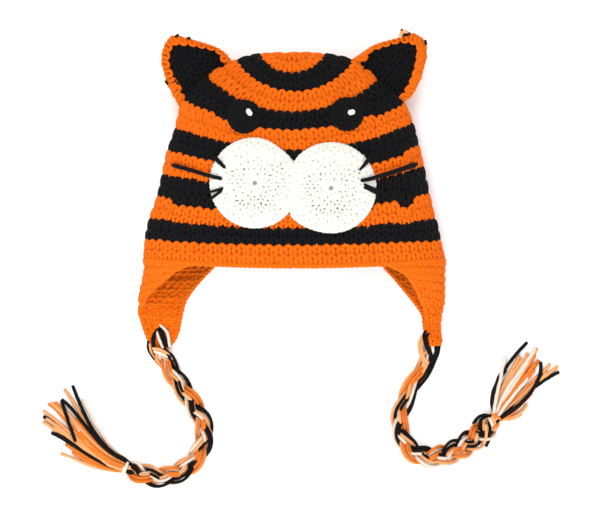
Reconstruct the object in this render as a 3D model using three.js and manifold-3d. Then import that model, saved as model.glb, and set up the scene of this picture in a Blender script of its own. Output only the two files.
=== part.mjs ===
// A child's crocheted tiger hat, in millimetres. It lies on its back: +Z is up, the face looks up,
// the top of the head points along +Y and the head opening looks along -Y.
// The origin is on the ground, below the middle of the hat without its ties.
// Left and right are those of someone who looks down at the face.
import * as THREE from 'three';
import { mergeVertices } from 'three/addons/utils/BufferGeometryUtils.js';
import Module from 'manifold-3d';

const wasm = await Module();
wasm.setup();

// Driving dimensions
const WALL = 4; // one layer of crochet
const GAP = 0.3; // clearance between pieces that are sewn together
const SEAM = 0.4; // clearance between the crown's rim and the flaps worked on from it
const COLUMNS = 52; // mesh columns round the crown
const FINE_STEPS = 360; // points on a section before it is spaced evenly

// The crown's outer face. A round is one row of stitches, counted from the top of the head, and each
// is given by the two places where it turns round the side fold, and by the middles of its front and
// back. bow shapes the way from the fold to the middle, and turn is the share of the half width over
// which the back layer comes down from the fold to the ground.
const CROWN = table(
  ['round', 'leftX', 'leftY', 'rightX', 'rightY', 'foldZ', 'frontY', 'frontZ', 'bow', 'backY', 'backZ', 'turn'],
  [
    [0, 0, 102.8, 0, 102.8, 28, 102.8, 28, 1.4, 102.8, 28, 0.8],
    [1, -8.5, 102.8, 8.5, 102.8, 28, 101.8, 35, 1.4, 101.8, 20.7, 0.8],
    [2, -17, 102.6, 17, 102.6, 27.5, 95.3, 40.3, 1.4, 98.8, 14, 0.75],
    [3, -25.5, 102, 25.5, 102, 27, 86.6, 44.5, 1.4, 94.3, 8, 0.7],
    [5, -42.8, 97.5, 46.5, 97.5, 26, 72.8, 52, 1.5, 81.4, 1, 0.5],
    [7, -65.2, 85.5, 66, 82.5, 25, 57.4, 57, 1.7, 66.6, 0, 0.35],
    [9, -83.2, 63.8, 82.5, 68.2, 24, 43.7, 60, 1.9, 51.7, 0, 0.28],
    [11, -87.8, 45, 90.8, 48.8, 23, 28.8, 62, 2, 36.8, 0, 0.25],
    [13, -93.8, 28.5, 95.2, 32.2, 22, 14.2, 62, 2.1, 21.8, 0, 0.25],
    [15, -97.5, 10.5, 99, 16.5, 21, 0, 61, 2.2, 6.9, 0, 0.25],
    [17, -101.2, -6, 102.8, -3.8, 20, -14.2, 59, 2.3, -8, 0, 0.25],
    [19, -107.2, -22.5, 108, -23.2, 19, -28.9, 56, 2.3, -23, 0, 0.25],
    [21, -110.2, -39, 111.8, -39.8, 18, -43.1, 52, 2.3, -37.9, 0, 0.25],
    [23, -111.8, -54, 115.5, -54, 17, -58.5, 48, 2.3, -52.9, 0, 0.25],
  ],
);
const LEVELS = [1, 2, 3, 4, 5, 6, 7, 8, 9, 11, 13, 15, 17, 19, 21, 23]; // rounds that the mesh has

// The ear flaps, one row for each section from the rim to the tip. A flap runs from its free front
// edge over the fold and down to its back edge on the ground. arc is how far, in degrees, the front
// part follows its curve from the fold, and turn is the width over which the back part comes down.
const FLAP_COLUMNS = ['frontX', 'frontY', 'frontZ', 'arc', 'foldX', 'foldY', 'foldZ', 'turn', 'backX', 'backY'];
const LEFT_FLAP = table(FLAP_COLUMNS, [
  [-81.8, -58.2, 37, 52, -110.8, -59.2, 15, 22, -61.5, -59.6],
  [-89.2, -62.2, 30, 56, -111.8, -65.2, 13, 18, -66.4, -64.5],
  [-96.8, -68.6, 23, 64, -113.4, -71.6, 10.5, 14, -72.4, -71.2],
  [-103.4, -74.2, 16, 74, -114.8, -78, 7.5, 10, -77.2, -77.6],
  [-108, -79.4, 11, 82, -115.7, -83.6, 5.4, 6, -80.9, -83.6],
  [-115.7, -87.2, 4.2, 0, -115.7, -87.2, 4.2, 4.6, -82, -87.4],
  [-115.3, -90.8, 0, 0, -115.3, -90.8, 0, 0, -83.2, -92.2],
  [-112.9, -98.2, 0, 0, -112.9, -98.2, 0, 0, -84.6, -99],
  [-110.6, -105.8, 0, 0, -110.6, -105.8, 0, 0, -85.8, -106.1],
  [-107.8, -112.6, 0, 0, -107.8, -112.6, 0, 0, -88.6, -112.6],
  [-103.2, -117.4, 0, 0, -103.2, -117.4, 0, 0, -93.2, -117.4],
]);
const RIGHT_FLAP = table(FLAP_COLUMNS, [
  [76.5, -58.2, 40, 54, 114.8, -59.2, 15, 22, 71.2, -59.6],
  [83.6, -62.2, 35.5, 58, 114.4, -65.2, 13, 18, 76.1, -64.5],
  [88.9, -67.5, 29, 63, 114.5, -71.6, 11, 14, 81.4, -70.9],
  [93, -74.2, 23, 68, 114.5, -78, 9, 11, 86.6, -77.2],
  [96, -81, 17.5, 74, 114.5, -84.4, 7.5, 9, 91.5, -83.2],
  [99.2, -87.8, 13, 80, 113.3, -89.2, 6.3, 7, 96, -89.2],
  [100.8, -94, 11.4, 84, 112.2, -94.5, 5.6, 6, 98.9, -94.1],
  [101, -100.6, 11, 86, 111.6, -101.2, 5.4, 5.4, 99.5, -100.9],
  [101.4, -106.6, 11, 86, 112, -107.2, 5.4, 5.4, 100.5, -106.9],
  [102.6, -111.4, 11, 86, 112.9, -111.8, 5.4, 5.4, 101.6, -111.8],
  [104, -116.2, 10.6, 86, 112.4, -116.2, 5.2, 5.2, 103.2, -116.2],
]);
const LEFT_RIM = { frontX: -74, backX: -54 }; // where each flap begins and ends along the rim
const RIGHT_RIM = { frontX: 71, backX: 65 };

// The ears, flat and two layers thick, in outline from the top of the seam round the tip and down to
// its lower end. The last two points lie inside the crown, which trims them to the seam.
const EAR = { thickness: 7, panel: 3.4, bevel: 1.2, seamZ: 25, drop: 8 };
const LEFT_EAR = {
  hinge: [[-43.9, 95.9], [-83.6, 60.5]],
  tip: [-90.2, 118.4],
  outline: [
    [-43.9, 95.9], [-50, 103.6], [-58.6, 108.8], [-77.8, 115.1], [-90.2, 118.4], [-96, 110.8],
    [-99.1, 100.7], [-96.8, 86.8], [-90.8, 72.5], [-83.6, 60.5], [-70, 62], [-46, 82],
  ],
  panelOutline: [
    [-50.4, 93.6], [-58.2, 103.6], [-73.1, 108.2], [-88.8, 109], [-93, 101], [-90.6, 87.8],
    [-84.6, 72], [-79.5, 64.5], [-68, 68], [-54, 84],
  ],
};
const RIGHT_EAR = {
  hinge: [[43.5, 97.6], [86.2, 66.3]],
  tip: [99, 114.6],
  outline: [
    [43.5, 97.6], [51.8, 103.1], [62, 109.8], [79, 115.1], [92, 118.4], [100.4, 112],
    [101.7, 101], [98.6, 87.8], [92.5, 73.4], [86.2, 66.3], [72, 64], [48, 84],
  ],
  panelOutline: [
    [52, 95.6], [62.8, 103.6], [79, 108.4], [88, 111], [96.6, 107.6], [93.4, 101],
    [91.2, 85.9], [85, 75.4], [70, 70], [56, 84],
  ],
};

// Crocheted discs sewn on the face: centre, radius and height of the fabric above the crown
const MUZZLE = { radius: 34.5, height: 3.8, spokes: 28, rings: [0.25, 0.5, 0.75, 0.93, 1] };
const LEFT_MUZZLE = { x: -27.9, y: 5.2 };
const RIGHT_MUZZLE = { x: 29.4, y: 1.5 };
const EYE = { radius: 13.2, height: 4.2, spokes: 18, rings: [0.4, 0.8, 1] };
const LEFT_EYE = { x: -36, y: 55.1 };
const RIGHT_EYE = { x: 41.2, y: 57 };
const EYE_LIGHT = { height: 1.8, spokes: 10, rings: [0.6, 1] };
const LEFT_LIGHT = { x: -32, y: 57.9, long: 3, short: 2.2, tilt: -55 };
const RIGHT_LIGHT = { x: 44.4, y: 57.9, long: 2.9, short: 2.3, tilt: 15 };
const EDGE_HEIGHT = 0.45; // share of a disc's height that is left at its rounded edge

// Whiskers: long stitches of yarn over the edge of the muzzle
const WHISKER = { radius: 1.2, sides: 6, steps: 10 };
const WHISKERS = {
  whisker_left_1: [[-57.6, 24], [-50.4, 16.8]],
  whisker_left_2: [[-90, 18.8], [-75, 14.6], [-61.7, 10.5], [-51.8, 8.2]],
  whisker_left_3: [[-61.1, -5], [-51.8, 1]],
  whisker_right_1: [[57.6, 22.4], [50.5, 14.6]],
  whisker_right_2: [[93.8, 19.5], [78, 14], [61.9, 9.1], [50.1, 6.4]],
  whisker_right_3: [[63.8, -1.4], [53.7, 3.1]],
};

// The ties: flat three-strand braids that lie on the ground, by points of their middle line
const BRAID = { width: 14.5, thickness: 9, sides: 10, steps: 24, clearance: 0.1 };
const LEFT_ROUTE = [
  [-98.2, -118.7], [-97.4, -122.5], [-94.9, -128], [-91.2, -134.5], [-87.6, -141], [-84, -146.8],
  [-80.2, -152.4], [-76, -159], [-72, -165.8], [-68, -172.5], [-65.8, -179.6], [-66, -187.6],
  [-69, -195.8], [-73, -202.5], [-78.8, -208.5], [-86, -213], [-94.5, -215.6], [-102.5, -215.6],
  [-110.2, -213.8], [-117, -211.3], [-123.8, -208.5],
];
const RIGHT_ROUTE = [
  [107.6, -117.9], [106.6, -121.6], [104.2, -125.6], [101.3, -130.6], [97.5, -136.5], [93.3, -142.5],
  [89.6, -148.5], [86.5, -154.8], [84, -161.2], [81.8, -167], [80.5, -173], [80.8, -179.2],
  [82.4, -185], [85.4, -190.8], [89.6, -195.8], [95.5, -199.2], [102.4, -200.8], [109.8, -200.4],
  [117, -198.4], [124.2, -195.2], [131.2, -191.2], [137.4, -187], [143.2, -182.2], [147.8, -177.4],
  [151.8, -172.6],
];
const KNOT = { length: 5, width: 12.5, thickness: 9.4 };

// Loose ends after the knot, as locks of several yarns: where each ends, how far it bows sideways
const LOCK = { sides: 6, steps: 5, start: 3, middle: 3.6, end: 2 };
const LOCK_COLUMNS = ['x', 'y', 'bow'];
const LEFT_LOCKS = table(LOCK_COLUMNS, [
  [-166.5, -149.5, -5],
  [-175.5, -157.5, 6],
  [-186, -162.5, 2],
  [-183, -171.5, -4],
  [-178, -183, -5],
  [-169.5, -199, 3],
]);
const RIGHT_LOCKS = table(LOCK_COLUMNS, [
  [176, -115, 4],
  [183.5, -119, -3],
  [187, -130, 3],
  [193, -133, 0],
  [200.5, -137.5, -4],
]);

const COLOURS = { orange: 0xff7f17, black: 0x17171a, white: 0xf7f5ee, mixed: 0x6b4a38 };

function table(columns, rows) {
  return rows.map((row) => Object.fromEntries(columns.map((name, i) => [name, row[i]])));
}

function vector([x, y], z = 0) {
  return new THREE.Vector3(x, y, z);
}

// Every column of the crown's table at any round, by a curve that never overshoots its points
function crownAt(round) {
  const last = CROWN.length - 2;
  const index = Math.min(CROWN.findLastIndex((row) => row.round <= round), last);
  const slope = (name, i) => {
    const [low, high] = [CROWN[i], CROWN[i + 1]];
    return low && high ? (high[name] - low[name]) / (high.round - low.round) : null;
  };
  const tangent = (name, i) => {
    const [before, after] = [slope(name, i - 1), slope(name, i)];
    if (before === null || after === null) return before ?? after;
    return before * after <= 0 ? 0 : (2 * before * after) / (before + after);
  };
  const [low, high] = [CROWN[index], CROWN[index + 1]];
  const width = high.round - low.round;
  const t = (round - low.round) / width;
  const along = (name) =>
    low[name] * (2 * t ** 3 - 3 * t ** 2 + 1) +
    high[name] * (3 * t ** 2 - 2 * t ** 3) +
    width * (tangent(name, index) * (t ** 3 - 2 * t ** 2 + t) + tangent(name, index + 1) * (t ** 3 - t ** 2));
  return Object.fromEntries(Object.keys(low).map((name) => [name, along(name)]));
}

// A point of a round, by its angle from the middle of the front, positive to the right
function roundPoint(ring, angle) {
  const side = Math.sin(angle);
  const deep = Math.abs(Math.cos(angle));
  const x = (ring.leftX + ring.rightX + (ring.rightX - ring.leftX) * side) / 2;
  const foldY = (ring.leftY + ring.rightY + (ring.rightY - ring.leftY) * side) / 2;
  if (Math.cos(angle) >= 0) {
    const y = foldY + (ring.frontY - foldY) * deep ** ring.bow;
    return new THREE.Vector3(x, y, ring.foldZ + (ring.frontZ - ring.foldZ) * deep);
  }
  const outward = THREE.MathUtils.clamp((Math.abs(side) - 1 + ring.turn) / ring.turn, 0, 1);
  const rise = 1 - Math.sqrt(1 - outward ** 2);
  const y = foldY + (ring.backY - foldY) * deep ** ring.bow;
  return new THREE.Vector3(x, y, ring.backZ + (ring.foldZ - ring.backZ) * rise);
}

// Spaces points evenly along a line, with both ends kept
function evenly(line, count) {
  const reach = [0];
  for (let i = 1; i < line.length; i++) reach.push(reach[i - 1] + line[i].distanceTo(line[i - 1]));
  return Array.from({ length: count }, (_, i) => {
    const at = (reach.at(-1) * i) / (count - 1);
    const after = Math.max(1, reach.findIndex((length) => length >= at - 1e-9));
    const share = (at - reach[after - 1]) / (reach[after] - reach[after - 1]);
    return line[after - 1].clone().lerp(line[after], share);
  });
}

function crownRound(round) {
  const ring = crownAt(round);
  const line = Array.from({ length: FINE_STEPS + 1 }, (_, i) => roundPoint(ring, (2 * Math.PI * i) / FINE_STEPS));
  return evenly(line, COLUMNS + 1).slice(0, COLUMNS);
}

// Outward directions of a grid of points, from the points on either side of each
function directions(rows, wraps, above) {
  return rows.map((row, r) =>
    row.map((point, c) => {
      const last = row.length - 1;
      const left = wraps ? row[(c + last) % row.length] : row[Math.max(c - 1, 0)];
      const right = wraps ? row[(c + 1) % row.length] : row[Math.min(c + 1, last)];
      const up = r > 0 ? rows[r - 1][c] : above?.[c] ?? point;
      const down = rows[Math.min(r + 1, rows.length - 1)][c];
      return down.clone().sub(up).cross(right.clone().sub(left)).normalize();
    }),
  );
}

function moved(rows, normals, distance) {
  return rows.map((row, r) => row.map((point, c) => point.clone().addScaledVector(normals[r][c], distance)));
}

// A closed body from points and triangles, turned so that its faces point outwards
function bodyOf(points, triangles) {
  const volume = triangles.reduce(
    (sum, [a, b, c]) => sum + points[a].dot(points[b].clone().cross(points[c])), 0);
  const faces = volume < 0 ? triangles.map(([a, b, c]) => [a, c, b]) : triangles;
  const geometry = new THREE.BufferGeometry();
  geometry.setAttribute('position', new THREE.Float32BufferAttribute(points.flatMap((p) => p.toArray()), 3));
  geometry.setIndex(faces.flat());
  geometry.computeVertexNormals();
  return geometry;
}

function ringFaces(count, rings, first = 0) {
  const faces = [];
  for (let r = 0; r < rings - 1; r++) {
    for (let c = 0; c < count; c++) {
      const [a, b] = [first + r * count + c, first + r * count + ((c + 1) % count)];
      faces.push([a, b, b + count], [a, b + count, a + count]);
    }
  }
  return faces;
}

// Rings of points joined one after the other, closed by a point at each end
function loft(start, rings, end) {
  const count = rings[0].length;
  const faces = ringFaces(count, rings.length, 1);
  const lastRing = 1 + (rings.length - 1) * count;
  for (let c = 0; c < count; c++) {
    const next = (c + 1) % count;
    faces.push([0, 1 + next, 1 + c], [lastRing + count, lastRing + c, lastRing + next]);
  }
  return bodyOf([start, ...rings.flat(), end], faces);
}

// A sheet of fabric between an outer and an inner grid, closed along its four edges
function sheet(outer, inner) {
  const rings = outer.map((row, r) => [...row, ...inner[r].toReversed()]);
  const count = rings[0].length;
  const faces = ringFaces(count, rings.length);
  const last = (rings.length - 1) * count;
  for (let c = 0; c < outer[0].length - 1; c++) {
    const [a, b, d, e] = [c, c + 1, count - 2 - c, count - 1 - c];
    faces.push([b, a, e], [b, e, d], [last + a, last + b, last + d], [last + a, last + d, last + e]);
  }
  return bodyOf(rings.flat(), faces);
}

function solidOf(geometry) {
  const bare = geometry.clone();
  bare.deleteAttribute('normal');
  bare.deleteAttribute('uv');
  const merged = mergeVertices(bare, 1e-4);
  return new wasm.Manifold(new wasm.Mesh({
    numProp: 3,
    vertProperties: merged.getAttribute('position').array,
    triVerts: new Uint32Array(merged.getIndex().array),
  }));
}

function geometryOf(solid) {
  const { vertProperties, triVerts } = solid.getMesh();
  const geometry = new THREE.BufferGeometry();
  geometry.setAttribute('position', new THREE.BufferAttribute(vertProperties, 3));
  geometry.setIndex(new THREE.BufferAttribute(triVerts, 1));
  geometry.computeVertexNormals();
  return geometry;
}

// Crown: outer rounds from the top to the rim, then inner rounds back to the top
const topOfHead = roundPoint(CROWN[0], 0);
const outerCrown = LEVELS.map(crownRound);
const crownNormals = directions(outerCrown, true, outerCrown[0].map(() => topOfHead));
const innerCrown = moved(outerCrown, crownNormals, -WALL);
const crownGeometry = loft(
  topOfHead,
  [...outerCrown, ...innerCrown.toReversed()],
  topOfHead.clone().add(new THREE.Vector3(0, -WALL, 0)),
);

// The crown without its hollow, a little larger, to trim what is sewn on its outside
const grownCrown = moved(outerCrown, crownNormals, GAP);
const mouthMiddle = new THREE.Vector3(0, (CROWN.at(-1).frontY + CROWN.at(-1).backY) / 2, CROWN.at(-1).foldZ);
const crownTrim = solidOf(loft(topOfHead.clone().add(new THREE.Vector3(0, GAP, 0)), grownCrown, mouthMiddle));

// A section of a flap as a line of points, from the free front edge round the fold to the back edge
function flapLine(row) {
  const line = [];
  const arc = THREE.MathUtils.degToRad(row.arc);
  const steps = FINE_STEPS / 10;
  for (let i = 0; i < steps && arc > 0; i++) {
    const angle = arc * (1 - i / steps);
    const across = (1 - Math.cos(angle)) / (1 - Math.cos(arc));
    const up = Math.sin(angle) / Math.sin(arc);
    line.push(new THREE.Vector3(
      row.foldX + (row.frontX - row.foldX) * across,
      row.foldY + (row.frontY - row.foldY) * up ** 2,
      row.foldZ + (row.frontZ - row.foldZ) * up,
    ));
  }
  const width = Math.abs(row.backX - row.foldX);
  for (let i = 0; i <= steps && row.turn > 0; i++) {
    const angle = (Math.PI / 2) * (i / steps);
    const share = (row.turn / width) * (1 - Math.cos(angle));
    line.push(new THREE.Vector3(
      row.foldX + (row.backX - row.foldX) * share,
      row.foldY + (row.backY - row.foldY) * share,
      row.foldZ * (1 - Math.sin(angle)),
    ));
  }
  if (line.length === 0) line.push(vector([row.foldX, row.foldY]));
  line.push(vector([row.backX, row.backY]));
  return line;
}

// The rim's column nearest to a place on its front or back layer
function rimColumn(x, isFront) {
  const rim = outerCrown.at(-1);
  const middleZ = CROWN.at(-1).foldZ;
  const miss = (point) => Math.abs(point.x - x) + (point.z > middleZ === isFront ? 0 : 1e3);
  return rim.reduce((best, point, c) => (miss(point) < miss(rim[best]) ? c : best), 0);
}

function flapGeometry(rows, rim) {
  const [front, back] = [rimColumn(rim.frontX, true), rimColumn(rim.backX, false)];
  const step = rim.frontX > 0 ? 1 : -1;
  const count = ((back - front) * step + COLUMNS) % COLUMNS + 1;
  const columns = Array.from({ length: count }, (_, i) => (front + i * step + COLUMNS) % COLUMNS);
  const seam = (grid) => columns.map((c) => {
    const away = outerCrown.at(-1)[c].clone().sub(outerCrown.at(-2)[c]).normalize();
    return grid.at(-1)[c].clone().addScaledVector(away, SEAM);
  });
  const outer = [seam(outerCrown), ...rows.map((row) => evenly(flapLine(row), count))];
  const normals = directions(outer, false);
  const inner = moved(outer, normals, -WALL * step);
  inner[0] = seam(innerCrown);
  return sheet(outer, inner);
}

// An ear's outline as an extruded plate, laid from its seam and tilted down towards its tip
function earPlate(ear, outline, bottom, top, bevel, grow = 0) {
  const points = outline.map(([x, y]) => new THREE.Vector2(x, y));
  const middle = points.reduce((sum, point) => sum.add(point), new THREE.Vector2()).divideScalar(points.length);
  const grown = points.map((point) => point.clone().add(point.clone().sub(middle).setLength(grow)));
  const shape = new THREE.Shape(grown);
  const geometry = new THREE.ExtrudeGeometry(shape, {
    depth: top - bottom - 2 * bevel,
    bevelEnabled: bevel > 0,
    bevelThickness: bevel,
    bevelSize: bevel,
    bevelOffset: -bevel,
    bevelSegments: 1,
  });
  geometry.translate(0, 0, bottom + bevel);
  const [from, to] = ear.hinge.map((place) => vector(place));
  const hinge = to.clone().sub(from).normalize();
  const away = vector(ear.tip).sub(from);
  const reach = away.clone().addScaledVector(hinge, -away.dot(hinge)).length();
  const side = Math.sign(hinge.clone().cross(away).z);
  const tilt = new THREE.Matrix4().makeRotationAxis(hinge, -side * Math.asin(EAR.drop / reach));
  geometry.translate(-from.x, -from.y, 0);
  geometry.applyMatrix4(tilt);
  geometry.translate(from.x, from.y, EAR.seamZ);
  return solidOf(geometry);
}

function earSolids(ear) {
  const half = EAR.thickness / 2;
  const floor = half - EAR.panel;
  const plate = earPlate(ear, ear.outline, -half, half, EAR.bevel).subtract(crownTrim);
  const recess = earPlate(ear, ear.panelOutline, floor - GAP, EAR.thickness, 0, GAP);
  const panel = earPlate(ear, ear.panelOutline, floor, half + 0.2, 0).subtract(crownTrim);
  return { plate: plate.subtract(recess), panel };
}

const rayDown = new THREE.Raycaster();

// Height of the first surface below a place, among the meshes given
function topAt(meshes, x, y) {
  rayDown.set(new THREE.Vector3(x + 1e-4, y + 1e-4, 200), new THREE.Vector3(0, 0, -1));
  const hit = rayDown.intersectObjects(meshes, false)[0];
  return hit ? hit.point.z : 0;
}

// A round pad that follows the surface below it. reach gives its radius in each direction.
function pad(spec, centre, reach, seats) {
  const ringAt = (share, heightAt) => Array.from({ length: spec.spokes }, (_, i) => {
    const angle = (2 * Math.PI * i) / spec.spokes;
    const radius = share * reach(angle);
    const [x, y] = [centre.x + radius * Math.cos(angle), centre.y + radius * Math.sin(angle)];
    return new THREE.Vector3(x, y, topAt(seats, x, y) + heightAt(share));
  });
  const crest = (share) => spec.height * (1 - (1 - EDGE_HEIGHT) * share ** 8);
  const under = () => GAP;
  const middle = (height) => new THREE.Vector3(centre.x, centre.y, topAt(seats, centre.x, centre.y) + height);
  return loft(
    middle(spec.height),
    [...spec.rings.map((share) => ringAt(share, crest)), ...spec.rings.toReversed().map((share) => ringAt(share, under))],
    middle(GAP),
  );
}

// A muzzle disc's radius in each direction, cut off straight where the two discs are sewn together
function muzzleReach(own, other) {
  const towards = Math.atan2(other.y - own.y, other.x - own.x);
  const seam = Math.hypot(other.x - own.x, other.y - own.y) / 2 - GAP / 2;
  return (angle) => {
    const facing = Math.cos(angle - towards);
    return facing > 0 ? Math.min(MUZZLE.radius, seam / facing) : MUZZLE.radius;
  };
}

function ovalReach({ long, short, tilt }) {
  const turn = THREE.MathUtils.degToRad(tilt);
  return (angle) => 1 / Math.hypot(Math.cos(angle - turn) / long, Math.sin(angle - turn) / short);
}

function ovalShape(width, height, sides) {
  return new THREE.Shape(Array.from({ length: sides }, (_, i) => {
    const angle = (2 * Math.PI * (i + 0.5)) / sides;
    return new THREE.Vector2((height / 2) * Math.cos(angle), (width / 2) * Math.sin(angle));
  }));
}

function tube(route, width, height, sides, steps) {
  return new THREE.ExtrudeGeometry(ovalShape(width, height, sides), {
    extrudePath: new THREE.CatmullRomCurve3(route, false, 'centripetal'),
    steps,
    bevelEnabled: false,
  });
}

// A whisker rests on the highest surface within its own width
function whiskerGeometry(route, seats) {
  const flat = new THREE.CatmullRomCurve3(route.map((place) => vector(place))).getSpacedPoints(WHISKER.steps);
  const lifted = flat.map((point) => {
    const ring = Array.from({ length: 8 }, (_, i) => (Math.PI * i) / 4);
    const heights = ring.map((angle) => topAt(
      seats,
      point.x + (WHISKER.radius + 1) * Math.cos(angle),
      point.y + (WHISKER.radius + 1) * Math.sin(angle),
    ));
    const height = Math.max(topAt(seats, point.x, point.y), ...heights);
    return new THREE.Vector3(point.x, point.y, height + WHISKER.radius + GAP);
  });
  return tube(lifted, 2 * WHISKER.radius, 2 * WHISKER.radius, WHISKER.sides, WHISKER.steps);
}

// One lock of a tassel: a bundle of yarn ends that swells and then thins, resting on the ground
function lock(from, to) {
  const end = vector([to.x, to.y]);
  const along = end.clone().sub(from).setZ(0);
  const sideways = new THREE.Vector3(-along.y, along.x, 0).normalize();
  const radiusAt = (t) => (t < 0.4
    ? THREE.MathUtils.lerp(LOCK.start, LOCK.middle, t / 0.4)
    : THREE.MathUtils.lerp(LOCK.middle, LOCK.end, (t - 0.4) / 0.6));
  const centreAt = (t) => {
    const centre = from.clone().addScaledVector(along, t).addScaledVector(sideways, to.bow * Math.sin(Math.PI * t));
    const restZ = radiusAt(t) + BRAID.clearance;
    return centre.setZ(THREE.MathUtils.lerp(from.z, restZ, Math.min(1, t / 0.4)));
  };
  const rings = Array.from({ length: LOCK.steps + 1 }, (_, i) => {
    const t = i / LOCK.steps;
    const heading = centreAt(t + 0.01).sub(centreAt(t - 0.01)).setZ(0).normalize();
    const across = new THREE.Vector3(-heading.y, heading.x, 0);
    return Array.from({ length: LOCK.sides }, (_, s) => {
      const angle = (2 * Math.PI * s) / LOCK.sides;
      return centreAt(t)
        .addScaledVector(across, radiusAt(t) * Math.cos(angle))
        .add(new THREE.Vector3(0, 0, radiusAt(t) * Math.sin(angle)));
    });
  });
  return solidOf(loft(centreAt(0), rings, centreAt(1)));
}

// A tie: the braid, the knot round its end and the tassel beyond, each a gap from the one before
function tie(routePoints, locks) {
  const height = BRAID.thickness / 2 + BRAID.clearance;
  const route = routePoints.map((place) => vector(place, height));
  const end = route.at(-1);
  const heading = end.clone().sub(route.at(-2)).normalize();
  const onward = (distance) => end.clone().addScaledVector(heading, distance);
  const knotZ = KNOT.thickness / 2 + BRAID.clearance;
  const knotLine = [0, 0.5, 1].map((share) => onward(GAP + KNOT.length * share).setZ(knotZ));
  const start = onward(2 * GAP + KNOT.length + LOCK.start * 0.4);
  const ends = locks.map((row) => lock(start, row));
  const tassel = ends.reduce((whole, next) => whole.add(next));
  const knotFace = new THREE.Plane().setFromNormalAndCoplanarPoint(heading, onward(2 * GAP + KNOT.length));
  return {
    braid: tube(route, BRAID.width, BRAID.thickness, BRAID.sides, BRAID.steps),
    knot: tube(knotLine, KNOT.width, KNOT.thickness, BRAID.sides, 2),
    tassel: geometryOf(tassel.trimByPlane(knotFace.normal.toArray(), -knotFace.constant)),
  };
}

const hat = new THREE.Group();

function place(name, geometry, colour) {
  const material = new THREE.MeshStandardMaterial({ color: colour, roughness: 0.9, metalness: 0 });
  const mesh = new THREE.Mesh(geometry, material);
  mesh.name = name;
  mesh.updateMatrixWorld();
  hat.add(mesh);
  return mesh;
}

const crown = place('crown', crownGeometry, COLOURS.orange);
place('flap_left', flapGeometry(LEFT_FLAP, LEFT_RIM), COLOURS.orange);
place('flap_right', flapGeometry(RIGHT_FLAP, RIGHT_RIM), COLOURS.orange);

for (const [side, ear] of [['left', LEFT_EAR], ['right', RIGHT_EAR]]) {
  const { plate, panel } = earSolids(ear);
  place(`ear_${side}`, geometryOf(plate), COLOURS.orange);
  place(`ear_inner_${side}`, geometryOf(panel), COLOURS.black);
}

const muzzles = [
  place('muzzle_left', pad(MUZZLE, LEFT_MUZZLE, muzzleReach(LEFT_MUZZLE, RIGHT_MUZZLE), [crown]), COLOURS.white),
  place('muzzle_right', pad(MUZZLE, RIGHT_MUZZLE, muzzleReach(RIGHT_MUZZLE, LEFT_MUZZLE), [crown]), COLOURS.white),
];

for (const [side, centre, light] of [['left', LEFT_EYE, LEFT_LIGHT], ['right', RIGHT_EYE, RIGHT_LIGHT]]) {
  const eye = place(`eye_${side}`, pad(EYE, centre, () => EYE.radius, [crown]), COLOURS.black);
  place(`eye_light_${side}`, pad(EYE_LIGHT, light, ovalReach(light), [eye]), COLOURS.white);
}

for (const [name, route] of Object.entries(WHISKERS)) {
  place(name, whiskerGeometry(route, [crown, ...muzzles]), COLOURS.black);
}

for (const [side, route, locks] of [['left', LEFT_ROUTE, LEFT_LOCKS], ['right', RIGHT_ROUTE, RIGHT_LOCKS]]) {
  const { braid, knot, tassel } = tie(route, locks);
  place(`braid_${side}`, braid, COLOURS.mixed);
  place(`knot_${side}`, knot, COLOURS.white);
  place(`tassel_${side}`, tassel, COLOURS.mixed);
}

export default hat;
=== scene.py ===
"""A child's crocheted tiger hat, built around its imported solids.

The hat lies on its back, face up. Lengths in the tables are millimetres, +Z is up, the top of the
head points along +Y and the head opening looks along -Y. Left and right are those of someone who
looks down at the face.
"""
import math
from collections import namedtuple

import bmesh
import bpy
import numpy as np
from mathutils import Matrix, Vector
from mathutils.bvhtree import BVHTree


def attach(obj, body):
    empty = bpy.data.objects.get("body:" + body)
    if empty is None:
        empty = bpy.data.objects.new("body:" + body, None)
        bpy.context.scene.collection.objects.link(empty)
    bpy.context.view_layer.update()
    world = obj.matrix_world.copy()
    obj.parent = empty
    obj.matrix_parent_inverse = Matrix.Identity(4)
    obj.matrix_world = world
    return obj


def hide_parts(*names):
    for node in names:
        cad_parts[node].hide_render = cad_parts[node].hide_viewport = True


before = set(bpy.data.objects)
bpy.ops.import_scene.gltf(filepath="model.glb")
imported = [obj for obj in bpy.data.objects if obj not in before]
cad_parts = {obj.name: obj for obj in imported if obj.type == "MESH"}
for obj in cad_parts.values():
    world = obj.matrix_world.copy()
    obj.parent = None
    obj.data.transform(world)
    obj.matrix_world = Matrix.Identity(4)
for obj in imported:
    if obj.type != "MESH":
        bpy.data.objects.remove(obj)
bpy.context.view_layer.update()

bl_info = {
    "name": "Crocheted tiger hat",
    "version": (1, 0, 0),
    "blender": (4, 5, 0),
    "location": "3D View > Sidebar > Tiger Hat",
    "description": "Makes a crocheted animal hat with ear flaps, stitch by stitch",
    "category": "Add Mesh",
}

MM = 0.001
WALL = 4.0  # one layer of crochet, in mm
SEED = 20

# The photograph's frame, and the place in it that is the origin
PHOTO_WIDTH_PX = 600
PHOTO_HEIGHT_PX = 507
ORIGIN_PX = (292, 190)
PIXEL_MM = 0.75

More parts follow.
